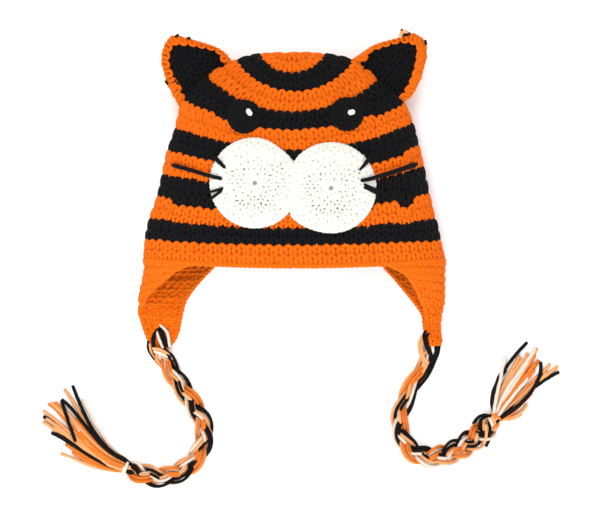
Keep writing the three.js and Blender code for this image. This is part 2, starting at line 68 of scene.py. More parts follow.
# The crown's outer face: for each round of stitches from the top of the head, the two places where
# it turns round the side fold and the middles of its front and back. bow shapes the way from the
# fold to the middle, and turn is the share of the half width over which the back comes down.
CROWN_COLUMNS = ("round", "left_x", "left_y", "right_x", "right_y", "fold_z",
                 "front_y", "front_z", "bow", "back_y", "back_z", "turn")
CROWN = np.array([
    (0, 0, 102.8, 0, 102.8, 28, 102.8, 28, 1.4, 102.8, 28, 0.8),
    (1, -8.5, 102.8, 8.5, 102.8, 28, 101.8, 35, 1.4, 101.8, 20.7, 0.8),
    (2, -17, 102.6, 17, 102.6, 27.5, 95.3, 40.3, 1.4, 98.8, 14, 0.75),
    (3, -25.5, 102, 25.5, 102, 27, 86.6, 44.5, 1.4, 94.3, 8, 0.7),
    (5, -42.8, 97.5, 46.5, 97.5, 26, 72.8, 52, 1.5, 81.4, 1, 0.5),
    (7, -65.2, 85.5, 66, 82.5, 25, 57.4, 57, 1.7, 66.6, 0, 0.35),
    (9, -83.2, 63.8, 82.5, 68.2, 24, 43.7, 60, 1.9, 51.7, 0, 0.28),
    (11, -87.8, 45, 90.8, 48.8, 23, 28.8, 62, 2, 36.8, 0, 0.25),
    (13, -93.8, 28.5, 95.2, 32.2, 22, 14.2, 62, 2.1, 21.8, 0, 0.25),
    (15, -97.5, 10.5, 99, 16.5, 21, 0, 61, 2.2, 6.9, 0, 0.25),
    (17, -101.2, -6, 102.8, -3.8, 20, -14.2, 59, 2.3, -8, 0, 0.25),
    (19, -107.2, -22.5, 108, -23.2, 19, -28.9, 56, 2.3, -23, 0, 0.25),
    (21, -110.2, -39, 111.8, -39.8, 18, -43.1, 52, 2.3, -37.9, 0, 0.25),
    (23, -111.8, -54, 115.5, -54, 17, -58.5, 48, 2.3, -52.9, 0, 0.25),
])
LAST_ROUND = 23
# Each stripe: its name, first and last round, and whether its yarn is black
STRIPES = (
    ("top_orange", 1, 3, False), ("top_black", 4, 5, True), ("brow_orange", 6, 7, False),
    ("eye_black", 8, 9, True), ("cheek_orange", 10, 11, False), ("muzzle_black", 12, 13, True),
    ("muzzle_orange", 14, 15, False), ("chin_black", 16, 17, True), ("chin_orange", 18, 19, False),
    ("rim_black", 20, 21, True), ("rim_orange", 22, 23, False),
)

# The ear flaps: a row of stitches for each section from the rim to the tip. A section runs from the
# free front edge over the fold and down to the back edge on the ground.
FLAP_COLUMNS = ("front_x", "front_y", "front_z", "arc", "fold_x", "fold_y", "fold_z", "turn",
                "back_x", "back_y")
LEFT_FLAP = np.array([
    (-81.8, -58.2, 37, 52, -110.8, -59.2, 15, 22, -61.5, -59.6),
    (-89.2, -62.2, 30, 56, -111.8, -65.2, 13, 18, -66.4, -64.5),
    (-96.8, -68.6, 23, 64, -113.4, -71.6, 10.5, 14, -72.4, -71.2),
    (-103.4, -74.2, 16, 74, -114.8, -78, 7.5, 10, -77.2, -77.6),
    (-108, -79.4, 11, 82, -115.7, -83.6, 5.4, 6, -80.9, -83.6),
    (-115.7, -87.2, 4.2, 0, -115.7, -87.2, 4.2, 4.6, -82, -87.4),
    (-115.3, -90.8, 0, 0, -115.3, -90.8, 0, 0, -83.2, -92.2),
    (-112.9, -98.2, 0, 0, -112.9, -98.2, 0, 0, -84.6, -99),
    (-110.6, -105.8, 0, 0, -110.6, -105.8, 0, 0, -85.8, -106.1),
    (-107.8, -112.6, 0, 0, -107.8, -112.6, 0, 0, -88.6, -112.6),
    (-103.2, -117.4, 0, 0, -103.2, -117.4, 0, 0, -93.2, -117.4),
])
RIGHT_FLAP = np.array([
    (76.5, -58.2, 40, 54, 114.8, -59.2, 15, 22, 71.2, -59.6),
    (83.6, -62.2, 35.5, 58, 114.4, -65.2, 13, 18, 76.1, -64.5),
    (88.9, -67.5, 29, 63, 114.5, -71.6, 11, 14, 81.4, -70.9),
    (93, -74.2, 23, 68, 114.5, -78, 9, 11, 86.6, -77.2),
    (96, -81, 17.5, 74, 114.5, -84.4, 7.5, 9, 91.5, -83.2),
    (99.2, -87.8, 13, 80, 113.3, -89.2, 6.3, 7, 96, -89.2),
    (100.8, -94, 11.4, 84, 112.2, -94.5, 5.6, 6, 98.9, -94.1),
    (101, -100.6, 11, 86, 111.6, -101.2, 5.4, 5.4, 99.5, -100.9),
    (101.4, -106.6, 11, 86, 112, -107.2, 5.4, 5.4, 100.5, -106.9),
    (102.6, -111.4, 11, 86, 112.9, -111.8, 5.4, 5.4, 101.6, -111.8),
    (104, -116.2, 10.6, 86, 112.4, -116.2, 5.2, 5.2, 103.2, -116.2),
])
# Where each flap begins and ends along the rim, on the front layer and on the back layer
FLAP_RIMS = {"left": (-74.0, -54.0), "right": (71.0, 65.0)}

# The ears in outline from the upper end of the seam round the tip to its lower end, and the rounds
# of the crown between which each is sewn
EARS = {
    "left": {
        "outline": [(-43.9, 95.9), (-50, 103.6), (-58.6, 108.8), (-77.8, 114.8), (-89.6, 117.0),
                    (-96, 110.8), (-99.1, 100.7), (-96.8, 86.8), (-90.8, 72.5), (-83.6, 60.5)],
        "panel": [(-50.5, 95), (-54, 103), (-66, 107.5), (-85.5, 111), (-91.5, 108), (-94, 98),
                  (-91.2, 87), (-85, 76), (-81, 66.5)],
        "tip": (-89.6, 117.0),
    },
    "right": {
        "outline": [(43.5, 97.6), (51.8, 103.1), (62, 109.8), (79, 115.1), (92, 118.4),
                    (100.4, 112), (101.7, 101), (98.6, 87.8), (92.5, 73.4), (86.2, 66.3)],
        "panel": [(52.5, 96.5), (57.5, 104), (66.5, 108), (85, 112.3), (95, 109), (95.5, 101),
                  (93.5, 90), (88.5, 77.5), (80.5, 66.5)],
        "tip": (99, 114.6),
    },
}
# Ends of yarn left on the ears where they were sewn: yarn, share of the hat yarn's width and way
EAR_ENDS = {
    "left": [("B", 0.5, [(-88, 115), (-85, 117)]), ("B", 0.5, [(-79, 114), (-76, 114)]),
             ("B", 0.5, [(-95, 82), (-93, 79)])],
    "right": [("A", 0.7, [(81, 114), (83, 119), (88, 118)]), ("B", 0.5, [(82, 119), (83, 121)]),
              ("B", 0.6, [(83, 116), (86, 117), (89, 118)]), ("B", 0.5, [(100, 113), (101, 109)])],
}
EAR_THICKNESS = 7.0
EAR_SEAM_Z = 25.0
EAR_DROP = 8.0  # how much lower the tip lies than the seam

# Crocheted discs sewn on the face
MUZZLE_RADIUS = 34.5
MUZZLE_HEIGHT = 3.8
# Middle of each disc, and how far its edge bulges out in one direction, in mm and degrees
MUZZLES = {"left": (-27.9, 5.2, -2.2, 50), "right": (29.4, 1.5, 3.0, 213)}
EYE_RADIUS = 13.2
EYE_HEIGHT = 4.2
EYES = {"left": (-36.0, 55.1), "right": (41.2, 57.0)}
# Half length, half width and tilt in degrees of the white highlights
EYE_LIGHTS = {"left": (-32.0, 57.9, 3.0, 2.2, -55.0), "right": (44.4, 57.9, 2.9, 2.3, 15.0)}

# Each whisker is one or two strands: share of the yarn's width at its outer and inner end, and its way
WHISKERS = {
    "whisker_left_1": [(0.85, 0.6, [(-57.6, 24), (-50.4, 16.8)])],
    "whisker_left_2": [(0.75, 0.7, [(-90, 18.8), (-75, 14.6), (-61.7, 10.5), (-51.8, 8.2)])],
    "whisker_left_3": [(0.45, 0.5, [(-62.5, -2), (-56, -0.2), (-51.6, 1.2)]),
                       (0.55, 0.5, [(-61.4, -7), (-56, -3.2), (-52, 0.3)])],
    "whisker_right_1": [(0.95, 0.4, [(58.2, 23.6), (50.5, 14.6)])],
    "whisker_right_2": [(0.95, 0.7, [(93.8, 19.5), (78, 14), (61.9, 9.1), (50.1, 6.4)])],
    "whisker_right_3": [(0.62, 0.55, [(64.6, -1), (53.9, 3.9)]), (0.62, 0.5, [(64.4, -2.9), (54, 2)])],
}

# The ties' middle lines on the ground
TIE_HEIGHT = 4.6
TIES = {
    "left": [(-98.2, -118.7), (-97.4, -122.5), (-94.9, -128), (-91.2, -134.5), (-87.6, -141),
             (-84, -146.8), (-80.2, -152.4), (-76, -159), (-72, -165.8), (-68, -172.5),
             (-65.8, -179.6), (-66, -187.6), (-69, -195.8), (-73, -202.5), (-78.8, -208.5),
             (-86, -213), (-94.5, -215.6), (-102.5, -215.6), (-110.2, -213.8), (-117, -211.3),
             (-123.8, -208.5)],
    "right": [(107.6, -117.9), (106.6, -121.6), (104.2, -125.6), (101.3, -130.6), (97.5, -136.5),
              (93.3, -142.5), (89.6, -148.5), (86.5, -154.8), (84, -161.2), (81.8, -167),
              (80.5, -173), (80.8, -179.2), (82.4, -185), (85.4, -190.8), (89.6, -195.8),
              (95.5, -199.2), (102.4, -200.8), (109.8, -200.4), (117, -198.4), (124.2, -195.2),
              (131.2, -191.2), (137.4, -187), (143.2, -182.2), (147.8, -177.4), (151.8, -172.6)],
}
KNOT_LENGTH = 5.0
# Three strands, each a bundle of yarns: O is orange, B black, C cream and A apricot
BUNDLES = ("BBACAC", "OOOACA", "BBCAOA")
# The loose ends after the knots: yarn, layer in the heap, place of the tip, the angle at which the
# end leaves the knot and the angle at which it reaches its tip, both counterclockwise in degrees
# from the knot's heading and from the straight way to the tip
TASSEL_COLUMNS = ("yarn", "layer", "x", "y", "leave", "arrive")
TASSELS = {
    "left": [
        ("B", 3, -165, -147, 0, -14), ("A", 2, -171, -149, 0, -4), ("C", 0, -157, -157, -14, -3),
        ("B", 3, -175, -157, 0, 7), ("C", 2, -167, -173, 4, -10), ("A", 2, -170, -166, 4, -8),
        ("O", 1, -179, -160, 0, 2), ("O", 0, -184, -161, 0, 4), ("A", 1, -182, -160, 2, 0),
        ("O", 2, -174, -169, 2, -4), ("A", 1, -187, -166, 4, 2), ("O", 2, -177, -166, 6, -6),
        ("B", 0, -186, -170, 4, 4), ("A", 1, -185, -172, 6, 4), ("A", 0, -187, -175, 6, 2),
        ("O", 2, -165, -179, 8, -18), ("O", 3, -160, -182, 8, -14), ("O", 1, -168, -183, 10, -14),
        ("B", 1, -182, -182, 6, 6), ("B", 1, -179, -184, 8, 6), ("A", 1, -172, -187, 8, 4),
        ("O", 0, -171, -192, 12, -8), ("O", 1, -165, -196, 14, -8), ("C", 0, -170, -200, 34, -18),
        ("A", 1, -176, -163, 2, 0), ("C", 2, -166, -180, 6, -12), ("O", 2, -162, -172, 4, -12),
        ("A", 2, -168, -177, 6, -10), ("O", 1, -156, -176, 6, -16), ("A", 2, -160, -187, 10, -14),
        ("A", 1, -180, -178, 6, 2), ("O", 1, -158, -166, 0, -10), ("A", 0, -174, -197, 16, -10),
    ],
    "right": [
        ("B", 2, 177, -113, 55, -16), ("B", 1, 162, -135, 60, -25), ("B", 0, 158, -137, 50, -14),
        ("C", 3, 160, -124, 34, -3), ("C", 2, 183, -118, 24, 4), ("C", 2, 179, -125, 18, 4),
        ("A", 1, 177, -122, 20, 0), ("A", 1, 173, -127, 24, 0), ("A", 1, 184, -119, 12, 8),
        ("O", 1, 186, -127, 4, 8), ("O", 2, 182, -134, 8, 4), ("O", 2, 177, -138, 12, 0),
        ("O", 0, 184, -124, 12, 6), ("C", 3, 181, -137, 4, 4), ("O", 1, 187, -140, -4, 4),
        ("B", 3, 187, -129, -26, 46), ("B", 3, 188, -137, -22, 24), ("B", 1, 201, -137, -8, -10),
        ("A", 1, 195, -131, 0, 6), ("A", 0, 200, -133, -4, 0), ("A", 0, 177, -161, -60, 44),
        ("O", 1, 175, -156, -38, 24), ("A", 1, 165, -134, 34, -6), ("A", 0, 172, -125, 28, -4),
        ("C", 1, 177, -128, 14, 2), ("O", 1, 185, -128, 8, 4), ("A", 1, 179, -138, 8, 2),
        ("O", 1, 175, -143, 8, 0), ("A", 1, 184, -148, -12, 8), ("O", 0, 181, -152, -20, 10),
        ("A", 1, 192, -138, -4, 2), ("A", 0, 172, -168, -62, 30), ("A", 0, 168, -140, 30, -10),
        ("C", 0, 170, -132, 26, -6), ("O", 0, 186, -144, -8, 6), ("B", 0, 171, -138, 24, -4),
    ],
}
# One end at the left is folded back at its tip, from the first place to the second
FOLDED_END = ((-175, -157), (-164, -190))
# Yarns looped through the tips of the flaps, which start the ties, and the loose ones at the right
# knot, by a few places with their heights
TIE_LOOPS = {
    "left": [
        ("C", [(-100, -101, 3), (-94, -107, 6), (-92, -118, 6)]),
        ("C", [(-104, -121, 6), (-98, -123, 8), (-90, -127, 6)]),
        ("A", [(-105, -119, 6), (-99, -120, 9), (-92, -124, 7)]),
        ("B", [(-100, -102, 3), (-97, -108, 6), (-94, -118, 7)]),
        ("B", [(-101, -103, 3), (-98, -110, 6), (-96, -118, 7)]),
        ("C", [(-102, -106, 3), (-100, -112, 6), (-97, -119, 7)]),
        ("B", [(-102, -105, 3), (-105, -113, 6), (-103, -124, 4)]),
        ("B", [(-103, -108, 3), (-104, -115, 6), (-101, -124, 5)]),
        ("B", [(-108, -113, 3), (-108, -120, 2), (-103, -128, 2)]),
        ("A", [(-107, -115, 3), (-106, -122, 2), (-101, -131, 2)]),
    ],
    "right": [
        ("B", [(103, -104, 9), (99, -109, 11), (101, -118, 8), (104, -125, 8), (101, -134, 6)]),
        ("B", [(104, -106, 9), (101, -111, 12), (103, -119, 9), (105, -126, 8), (102, -135, 5)]),
        ("A", [(101, -107, 9), (96, -113, 5), (96, -121, 4), (99, -129, 6), (97, -136, 5)]),
        ("A", [(102, -108, 9), (98, -114, 6), (98, -122, 6), (101, -130, 6)]),
        ("B", [(111, -115, 5), (110, -122, 5), (107, -129, 5), (101, -136, 4)]),
        ("B", [(109, -115, 7), (108, -122, 8), (105, -129, 8), (100, -136, 6)]),
        ("C", [(105, -115, 8), (106, -120, 8), (106, -126, 5)]),
        ("B", [(136, -176, 1.5), (140, -171, 3), (145, -169, 5), (150, -170, 8)]),
        ("B", [(148, -174, 8), (149, -180, 9), (148, -188, 6), (146, -193, 2)]),
        ("A", [(146, -176, 9), (146, -185, 9), (144, -191, 5)]),
    ],
}
# Yarn wound round the end of each plait: its turns, how far along the heading it starts and ends,
# and how far it is tilted from square to the tie, in degrees
KNOT_WRAPS = {
    "left": [("C", 1.25, 0.8, 2.2, 0)],
    "right": [("C", 1.5, -4.0, -1.8, -40), ("A", 1.5, -2.0, 0.4, -40), ("O", 1.0, 2.8, 3.8, 8)],
}


def to_linear(colour):
    """A scene-linear colour from an sRGB hex value such as ff7f17"""
    channels = [int(colour[i:i + 2], 16) / 255 for i in (0, 2, 4)]
    return tuple(c / 12.92 if c <= 0.04045 else ((c + 0.055) / 1.055) ** 2.4 for c in channels)


def length_setting(name, description, mm):
    """A setting that is a length, given in millimetres"""
    return bpy.props.FloatProperty(name=name, description=description, default=mm * MM, unit="LENGTH")


def colour_setting(name, description, colour):
    """A setting that is a colour, given as an sRGB hex value"""
    return bpy.props.FloatVectorProperty(name=name, description=description, default=to_linear(colour),
                                         subtype="COLOR", min=0, max=1)


class StageSettings(bpy.types.PropertyGroup):
    """The floor, the camera and the light"""

    camera_height: length_setting("Camera height", "How far the camera is above the floor", 8000)
    focus_height: length_setting("Focus height", "Height that has the photograph's scale", 30)
    floor_colour: colour_setting("Floor", "Colour of the plain floor", "f7f7f6")
    sky_strength: bpy.props.FloatProperty(
        name="Surrounding light", description="Even light from all round", default=0.98)
    key_power: bpy.props.FloatProperty(
        name="Softbox", description="Power of the large light", default=20.0, unit="POWER")


class YarnSettings(bpy.types.PropertyGroup):
    """The yarns"""

    hat_yarn: length_setting("Hat yarn", "Thickness of the yarn that the hat is crocheted with", 3.7)
    tie_yarn: length_setting("Tie yarn", "Thickness of the yarns in the ties", 2.3)
    unevenness: bpy.props.FloatProperty(
        name="Unevenness", description="How much the stitches differ, as a share of a stitch",
        default=0.035, min=0, max=0.2)
    orange: colour_setting("Orange yarn", "Colour of the orange yarn", "e66705")
    black: colour_setting("Black yarn", "Colour of the black yarn", "0d0d0f")
    white: colour_setting("White yarn", "Colour of the white yarn", "e5e5dc")
    faded_orange: colour_setting("Faded orange yarn", "Colour of the orange yarn in the ties", "d97428")
    cream: colour_setting("Cream yarn", "Colour of the undyed yarn in the ties", "dccdbd")
    apricot: colour_setting("Apricot yarn", "Colour of the pale yarn in the ties", "e09c66")


class CrochetSettings(bpy.types.PropertyGroup):
    """How the stitches are worked"""

    stitch_width: length_setting("Stitch width", "Width of a stitch of the crown", 6.75)
    most_stitches: bpy.props.IntProperty(
        name="Stitches round", description="Stitches in a full round of the crown", default=68)
    flap_stitch: length_setting("Flap stitch", "Width of a stitch of the flaps", 6.0)
    ear_stitch: length_setting("Ear stitch", "Width of a stitch of the ears' edging", 7.2)


CURVE_STEPS = 16  # points of a smooth curve from one given place to the next


def unit(vectors):
    """The same directions with a length of one"""
    return vectors / np.linalg.norm(vectors, axis=-1, keepdims=True)


def travelled(line):
    """How far along a line each of its points lies"""
    return np.concatenate([[0], np.cumsum(np.linalg.norm(np.diff(line, axis=0), axis=1))])


def sampled(values, along, at):
    """Rows of values that belong to places along a line, read at other places"""
    return np.stack([np.interp(at, along, column) for column in values.T], axis=1)


def evenly(line, count, closed=False):
    """Points spaced evenly along a line, with both ends kept, or without the last if it is closed"""
    along = travelled(line)
    at = np.linspace(0, along[-1], count + 1)[:-1] if closed else np.linspace(0, along[-1], count)
    return sampled(line, along, at)


def smooth_through(padded, t):
    """Places on the smooth curve through all points but the first and the last, t points along it"""
    i = np.minimum(t.astype(int), len(padded) - 4)
    u = (t - i)[:, None]
    a, b, c, d = (padded[i + k] for k in range(4))
    return 0.5 * (2 * b + (c - a) * u + (2 * a - 5 * b + 4 * c - d) * u ** 2
                  + (3 * b - a - 3 * c + d) * u ** 3)


def catmull_rom(points, count):
    """Evenly spaced points on a smooth curve through the given ones"""
    points = np.asarray(points, float)
    padded = np.vstack([2 * points[0] - points[1], points, 2 * points[-1] - points[-2]])
    pieces = len(points) - 1
    return evenly(smooth_through(padded, np.linspace(0, pieces, pieces * CURVE_STEPS + 1)), count)


def drawn_in(line, distance):
    """A flat line moved towards the middle of what it goes round"""
    heading = np.gradient(line, axis=0)
    side = unit(np.stack([heading[:, 1], -heading[:, 0]], axis=1))
    towards = np.sign(((line.mean(axis=0) - line) * side).sum())
    return line + side * towards * distance


def crown_at(place):
    """The crown's table at any round, by a curve that never overshoots its points"""
    rounds = CROWN[:, 0]
    low = int(np.clip(np.searchsorted(rounds, place, side="right") - 1, 0, len(rounds) - 2))
    width = rounds[low + 1] - rounds[low]
    t = (place - rounds[low]) / width
    slopes = np.diff(CROWN, axis=0) / np.diff(rounds)[:, None]
    before, after = slopes[:-1], slopes[1:]
    same = before * after > 0
    between = np.where(same, 2 * before * after / np.where(same, before + after, 1), 0)
    tangents = np.vstack([slopes[:1], between, slopes[-1:]])
    values = (CROWN[low] * (2 * t ** 3 - 3 * t ** 2 + 1) + CROWN[low + 1] * (3 * t ** 2 - 2 * t ** 3)
              + width * (tangents[low] * (t ** 3 - 2 * t ** 2 + t)
                         + tangents[low + 1] * (t ** 3 - t ** 2)))
    return dict(zip(CROWN_COLUMNS, values))


RING_POINTS = 481  # round a ring before it is divided evenly


def crown_ring(place, count):
    """Points round the crown at a round, spaced evenly from the middle of the front to the right"""
    ring = crown_at(place)
    angle = np.linspace(0, 2 * np.pi, RING_POINTS)
    side, deep = np.sin(angle), np.abs(np.cos(angle))
    middle_x = (ring["left_x"] + ring["right_x"]) / 2
    x = middle_x + (ring["right_x"] - ring["left_x"]) / 2 * side
    fold_y = (ring["left_y"] + ring["right_y"]) / 2 + (ring["right_y"] - ring["left_y"]) / 2 * side
    is_front = np.cos(angle) >= 0
    outward = np.clip((np.abs(side) - 1 + ring["turn"]) / ring["turn"], 0, 1)
    rise = 1 - np.sqrt(1 - outward ** 2)
    middle_y = np.where(is_front, ring["front_y"], ring["back_y"])
    y = fold_y + (middle_y - fold_y) * deep ** ring["bow"]
    z = np.where(is_front, ring["fold_z"] + (ring["front_z"] - ring["fold_z"]) * deep,
                 ring["back_z"] + (ring["fold_z"] - ring["back_z"]) * rise)
    return evenly(np.stack([x, y, z], axis=1), count, closed=True)


class Fabric:
    """A layer of crochet: a grid of points on its right side, rows down and columns across"""

    def __init__(self, points, wraps, per_row=1, turned=1):
        self.points = np.asarray(points, float)
        self.wraps = wraps
        self.per_row = per_row
        if wraps:
            across = np.roll(self.points, -1, axis=1) - np.roll(self.points, 1, axis=1)
        else:
            across = np.gradient(self.points, axis=1)
        down = np.gradient(self.points, axis=0)
        normals = turned * np.cross(down, across)
        length = np.linalg.norm(normals, axis=2, keepdims=True)
        facing = np.where(length > 1e-9, normals / np.maximum(length, 1e-9), 0)
        if length[0].max() <= 1e-6:
            # The first row is a single point and faces the way that the row after it does
            facing[0] = unit(facing[1].mean(axis=0))
        # Places and the directions that they face, with the first column again after the last
        self.grid = np.concatenate([self.points, facing], axis=2)
        if wraps:
            self.grid = np.concatenate([self.grid, self.grid[:, :1]], axis=1)

    def at(self, down, across, height):
        """Places at fractional rows and shares of the way across, raised by height in mm"""
        down, across, height = np.broadcast_arrays(down, across, height)
        rows, columns = self.grid.shape[:2]
        row = np.maximum(down * self.per_row, 0)
        column = (across % 1 if self.wraps else across) * (columns - 1)
        above = np.clip(np.floor(row).astype(int), 0, rows - 2)
        before = np.clip(np.floor(column).astype(int), 0, columns - 2)
        down_share, across_share = (row - above)[..., None], (column - before)[..., None]
        left, right = 1 - across_share, across_share
        upper, lower = (self.grid[r, before] * left + self.grid[r, before + 1] * right
                        for r in (above, above + 1))
        place = upper * (1 - down_share) + lower * down_share
        return place[..., :3] + place[..., 3:] * height[..., None]

    def width(self, down):
        """Length of the line across the fabric at a row"""
        line = self.at(down, np.linspace(0, 1, 181), 0.0)
        return float(travelled(line)[-1])


# One yarn of a piece: its line in mm, its width in m, or a width for each point, whether it is a
# ring, the number of its material and the share of its width that is left at its ends
Yarn = namedtuple("Yarn", "line width ring colour tips", defaults=(False, 0, 0.8))

# One stitch on the right side, from foot to foot over its top: across in stitches, down in rows
# and height in mm. The hat is worked from the top down, so the rounded point of a stitch lies over
# the row before it, with a small hole below the point.
RIGHT_SIDE = [(-0.50, 0.06, -3.0), (-0.32, -0.16, -1.9), (-0.20, -0.48, -1.1),
              (-0.39, -0.73, -0.9), (-0.20, -0.96, -1.0), (0.0, -1.06, -1.2), (0.20, -0.96, -1.0),
              (0.39, -0.73, -0.9), (0.20, -0.48, -1.1), (0.32, -0.16, -1.9)]
# A stitch of the discs, with a rounder and wider hole
DISC_STITCH = [(-0.50, 0.04, -2.6), (-0.28, -0.14, -1.6), (-0.19, -0.46, -1.0),
               (-0.46, -0.72, -0.9), (-0.19, -0.97, -1.0), (0.0, -1.05, -1.1), (0.19, -0.97, -1.0),
               (0.46, -0.72, -0.9), (0.19, -0.46, -1.0), (0.28, -0.14, -1.6)]
# The loops along the foot of a row, which show between the points of the next row
FOOT_LOOPS = [(-0.50, 0.0, -3.2), (-0.25, 0.04, -2.3), (0.0, 0.12, -1.7), (0.25, 0.04, -2.3)]
# The wrong side: slanting bars over the rows' loops, with small holes between
WRONG_SIDE = [(-0.50, -0.10, 0.6), (-0.30, -0.30, -0.1), (-0.10, -0.72, -0.1), (0.0, -0.86, 0.7),
              (0.16, -0.72, -0.1), (0.34, -0.30, -0.1)]
WRONG_BARS = [(-0.50, -0.22, 0.5), (-0.22, -0.42, -0.25), (0.10, -0.50, -0.3), (0.34, -0.36, 0.2)]
ROW_HEIGHT = 7.0  # mm of a row that is worked with the yarn's full width
SHRINKING = (0.3, 1.05)  # the least and the greatest share of its full width that yarn has in a row
HEIGHT_SWAY = 3.0  # mm of height for an unevenness of a whole stitch


def smooth_run(shape, samples):
    """A stitch's run of points made smooth, so that it joins the next stitch's run"""
    points = np.array(shape, float)
    padded = np.vstack([points[-1] - [1, 0, 0], points, points[:2] + [1, 0, 0]])
    return smooth_through(padded, np.arange(samples) * len(points) / samples)


def stitch_row(fabric, row, count, shape, samples, uneven, rng, phase=0.0, lift=0.0):
    """The line of one row's yarn and its width at each point as a share of the full width. Every
    stitch is the same run of points, a little uneven, and drawn smaller where the row is low."""
    stitch = np.repeat(np.arange(count), samples)
    across, down, height = np.tile(smooth_run(shape, samples), (count, 1)).T
    sway = np.repeat(rng.normal(0, uneven, (count, 3)), samples, axis=0)
    places = (stitch + 0.5 + phase + across + sway[:, 0] * (1 - np.abs(across))) / count
    low = fabric.at(row, places, 0.0)
    high = fabric.at(row - 1, places, 0.0)
    share = np.clip(np.linalg.norm(low - high, axis=1) / ROW_HEIGHT, *SHRINKING)
    share *= 1 + sway[:, 1]
    raised = height * share + lift + sway[:, 2] * HEIGHT_SWAY
    return fabric.at(row + down + sway[:, 1], places, raised), share


# The yarns of a row: their shape, points to a stitch, lift in mm and share of the full width
OUTSIDE = ((RIGHT_SIDE, 14, 0.0, 1.0), (FOOT_LOOPS, 6, 0.0, 0.85))
DISC_SIDE = ((DISC_STITCH, 14, 0.0, 1.0), (FOOT_LOOPS, 6, -0.7, 0.7))
INSIDE = ((WRONG_SIDE, 8, 1.3 - WALL, 0.85), (WRONG_BARS, 6, 1.1 - WALL, 0.8))


def work_row(yarns, layers, fabric, row, count, width, uneven, rng, phase=0.0, raised=0.0):
    """Adds the yarns of one row of stitches"""
    for shape, samples, lift, part in layers:
        line, share = stitch_row(fabric, row, count, shape, samples, uneven, rng, phase, lift + raised)
        yarns.append(Yarn(line, width * part * share, fabric.wraps))


def link(obj):
    """Puts an object into the scene"""
    bpy.context.scene.collection.objects.link(obj)
    return obj


def ride(obj, slot, *replaced):
    """Fastens a finished piece to the hat and hides the imported solids that it stands for; the slot of
    its finish is not used
    """
    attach(obj, "root")
    if replaced:
        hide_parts(*replaced)
    return obj


PLY_PITCH = 11.0  # mm of yarn to one turn of its plies


def yarn_piece(name, yarns, materials, sides=8):
    """One mesh of yarns, each a tube with its ends closed"""
    curve = bpy.data.curves.new(name, "CURVE")
    curve.dimensions = "3D"
    curve.bevel_depth = 1.0
    curve.bevel_resolution = (sides - 4) // 2
    curve.use_fill_caps = True
    for material in materials:
        curve.materials.append(material)
    turns, counts = [], []
    for line, width, ring, number, tips in yarns:
        radius = np.broadcast_to(np.asarray(width) / 2, len(line)).copy()
        line = np.asarray(line) * MM
        # Yarn that lies on the ground is pressed up by it
        line[:, 2] = np.maximum(line[:, 2], radius)
        spline = curve.splines.new("POLY")
        spline.points.add(len(line) - 1)
        spline.points.foreach_set("co", np.hstack([line, np.ones((len(line), 1))]).ravel())
        if not ring and tips < 1:
            radius[[0, -1]] *= tips
        spline.points.foreach_set("radius", radius)
        spline.use_cyclic_u = ring
        spline.material_index = number
        turns.append(max(1, round(travelled(line)[-1] / (PLY_PITCH * MM))))
        counts.append(sides * len(line) + (0 if ring else 2 * sides))
    bare = link(bpy.data.objects.new(name + "_line", curve))
    mesh = bpy.data.meshes.new_from_object(bare.evaluated_get(bpy.context.evaluated_depsgraph_get()))
    bpy.data.objects.remove(bare)
    bpy.data.curves.remove(curve)
    mesh.name = name
    wind_plies(mesh, turns, counts)
    weld(mesh)
    return link(bpy.data.objects.new(name, mesh))


def wind_plies(mesh, turns, counts):
    """Scales the map along each yarn so that one unit is one turn of its plies"""
    of_vertex = np.repeat(turns, counts)
    corners = np.zeros(len(mesh.loops), int)
    mesh.loops.foreach_get("vertex_index", corners)
    layer = mesh.uv_layers[0]
    layer.name = "plies"
    uv = np.zeros(len(mesh.loops) * 2)
    layer.data.foreach_get("uv", uv)
    uv = uv.reshape(-1, 2)
    uv[:, 1] *= of_vertex[corners]
    layer.data.foreach_set("uv", uv.ravel())


def weld(mesh):
    """Closes the seams at the ends of the yarns"""
    shape = bmesh.new()
    shape.from_mesh(mesh)
    bmesh.ops.remove_doubles(shape, verts=shape.verts, dist=1e-7)
    for face in shape.faces:
        face.smooth = True
    shape.to_mesh(mesh)
    shape.free()


def grid_piece(name, grid, materials, wraps, row_materials=None, cap_ends=False):
    """A closed sheet from a grid of points in mm: made as a flat grid, moved into place, welded"""
    grid = np.asarray(grid) * MM
    if wraps:
        grid = np.concatenate([grid, grid[:, :1]], axis=1)
    rows, columns = grid.shape[:2]
    shape = bmesh.new()
    bmesh.ops.create_grid(shape, x_segments=columns - 1, y_segments=rows - 1, size=1.0)
    for vert in shape.verts:
        column = round((vert.co.x + 1) / 2 * (columns - 1))
        row = round((vert.co.y + 1) / 2 * (rows - 1))
        vert.index = row * columns + column
    for face in shape.faces:
        face.smooth = True
        if row_materials is not None:
            face.material_index = int(row_materials[min(v.index for v in face.verts) // columns])
    for vert in shape.verts:
        vert.co = grid[vert.index // columns, vert.index % columns]
    bmesh.ops.remove_doubles(shape, verts=shape.verts, dist=1e-6)
    if cap_ends:
        bmesh.ops.holes_fill(shape, edges=[e for e in shape.edges if e.is_boundary], sides=0)
        bmesh.ops.triangulate(shape, faces=[f for f in shape.faces if len(f.verts) > 4])
    bmesh.ops.dissolve_degenerate(shape, dist=1e-7, edges=shape.edges)
    bmesh.ops.recalc_face_normals(shape, faces=shape.faces)
    mesh = bpy.data.meshes.new(name)
    shape.to_mesh(mesh)
    shape.free()
    for material in materials:
        mesh.materials.append(material)
    return link(bpy.data.objects.new(name, mesh))


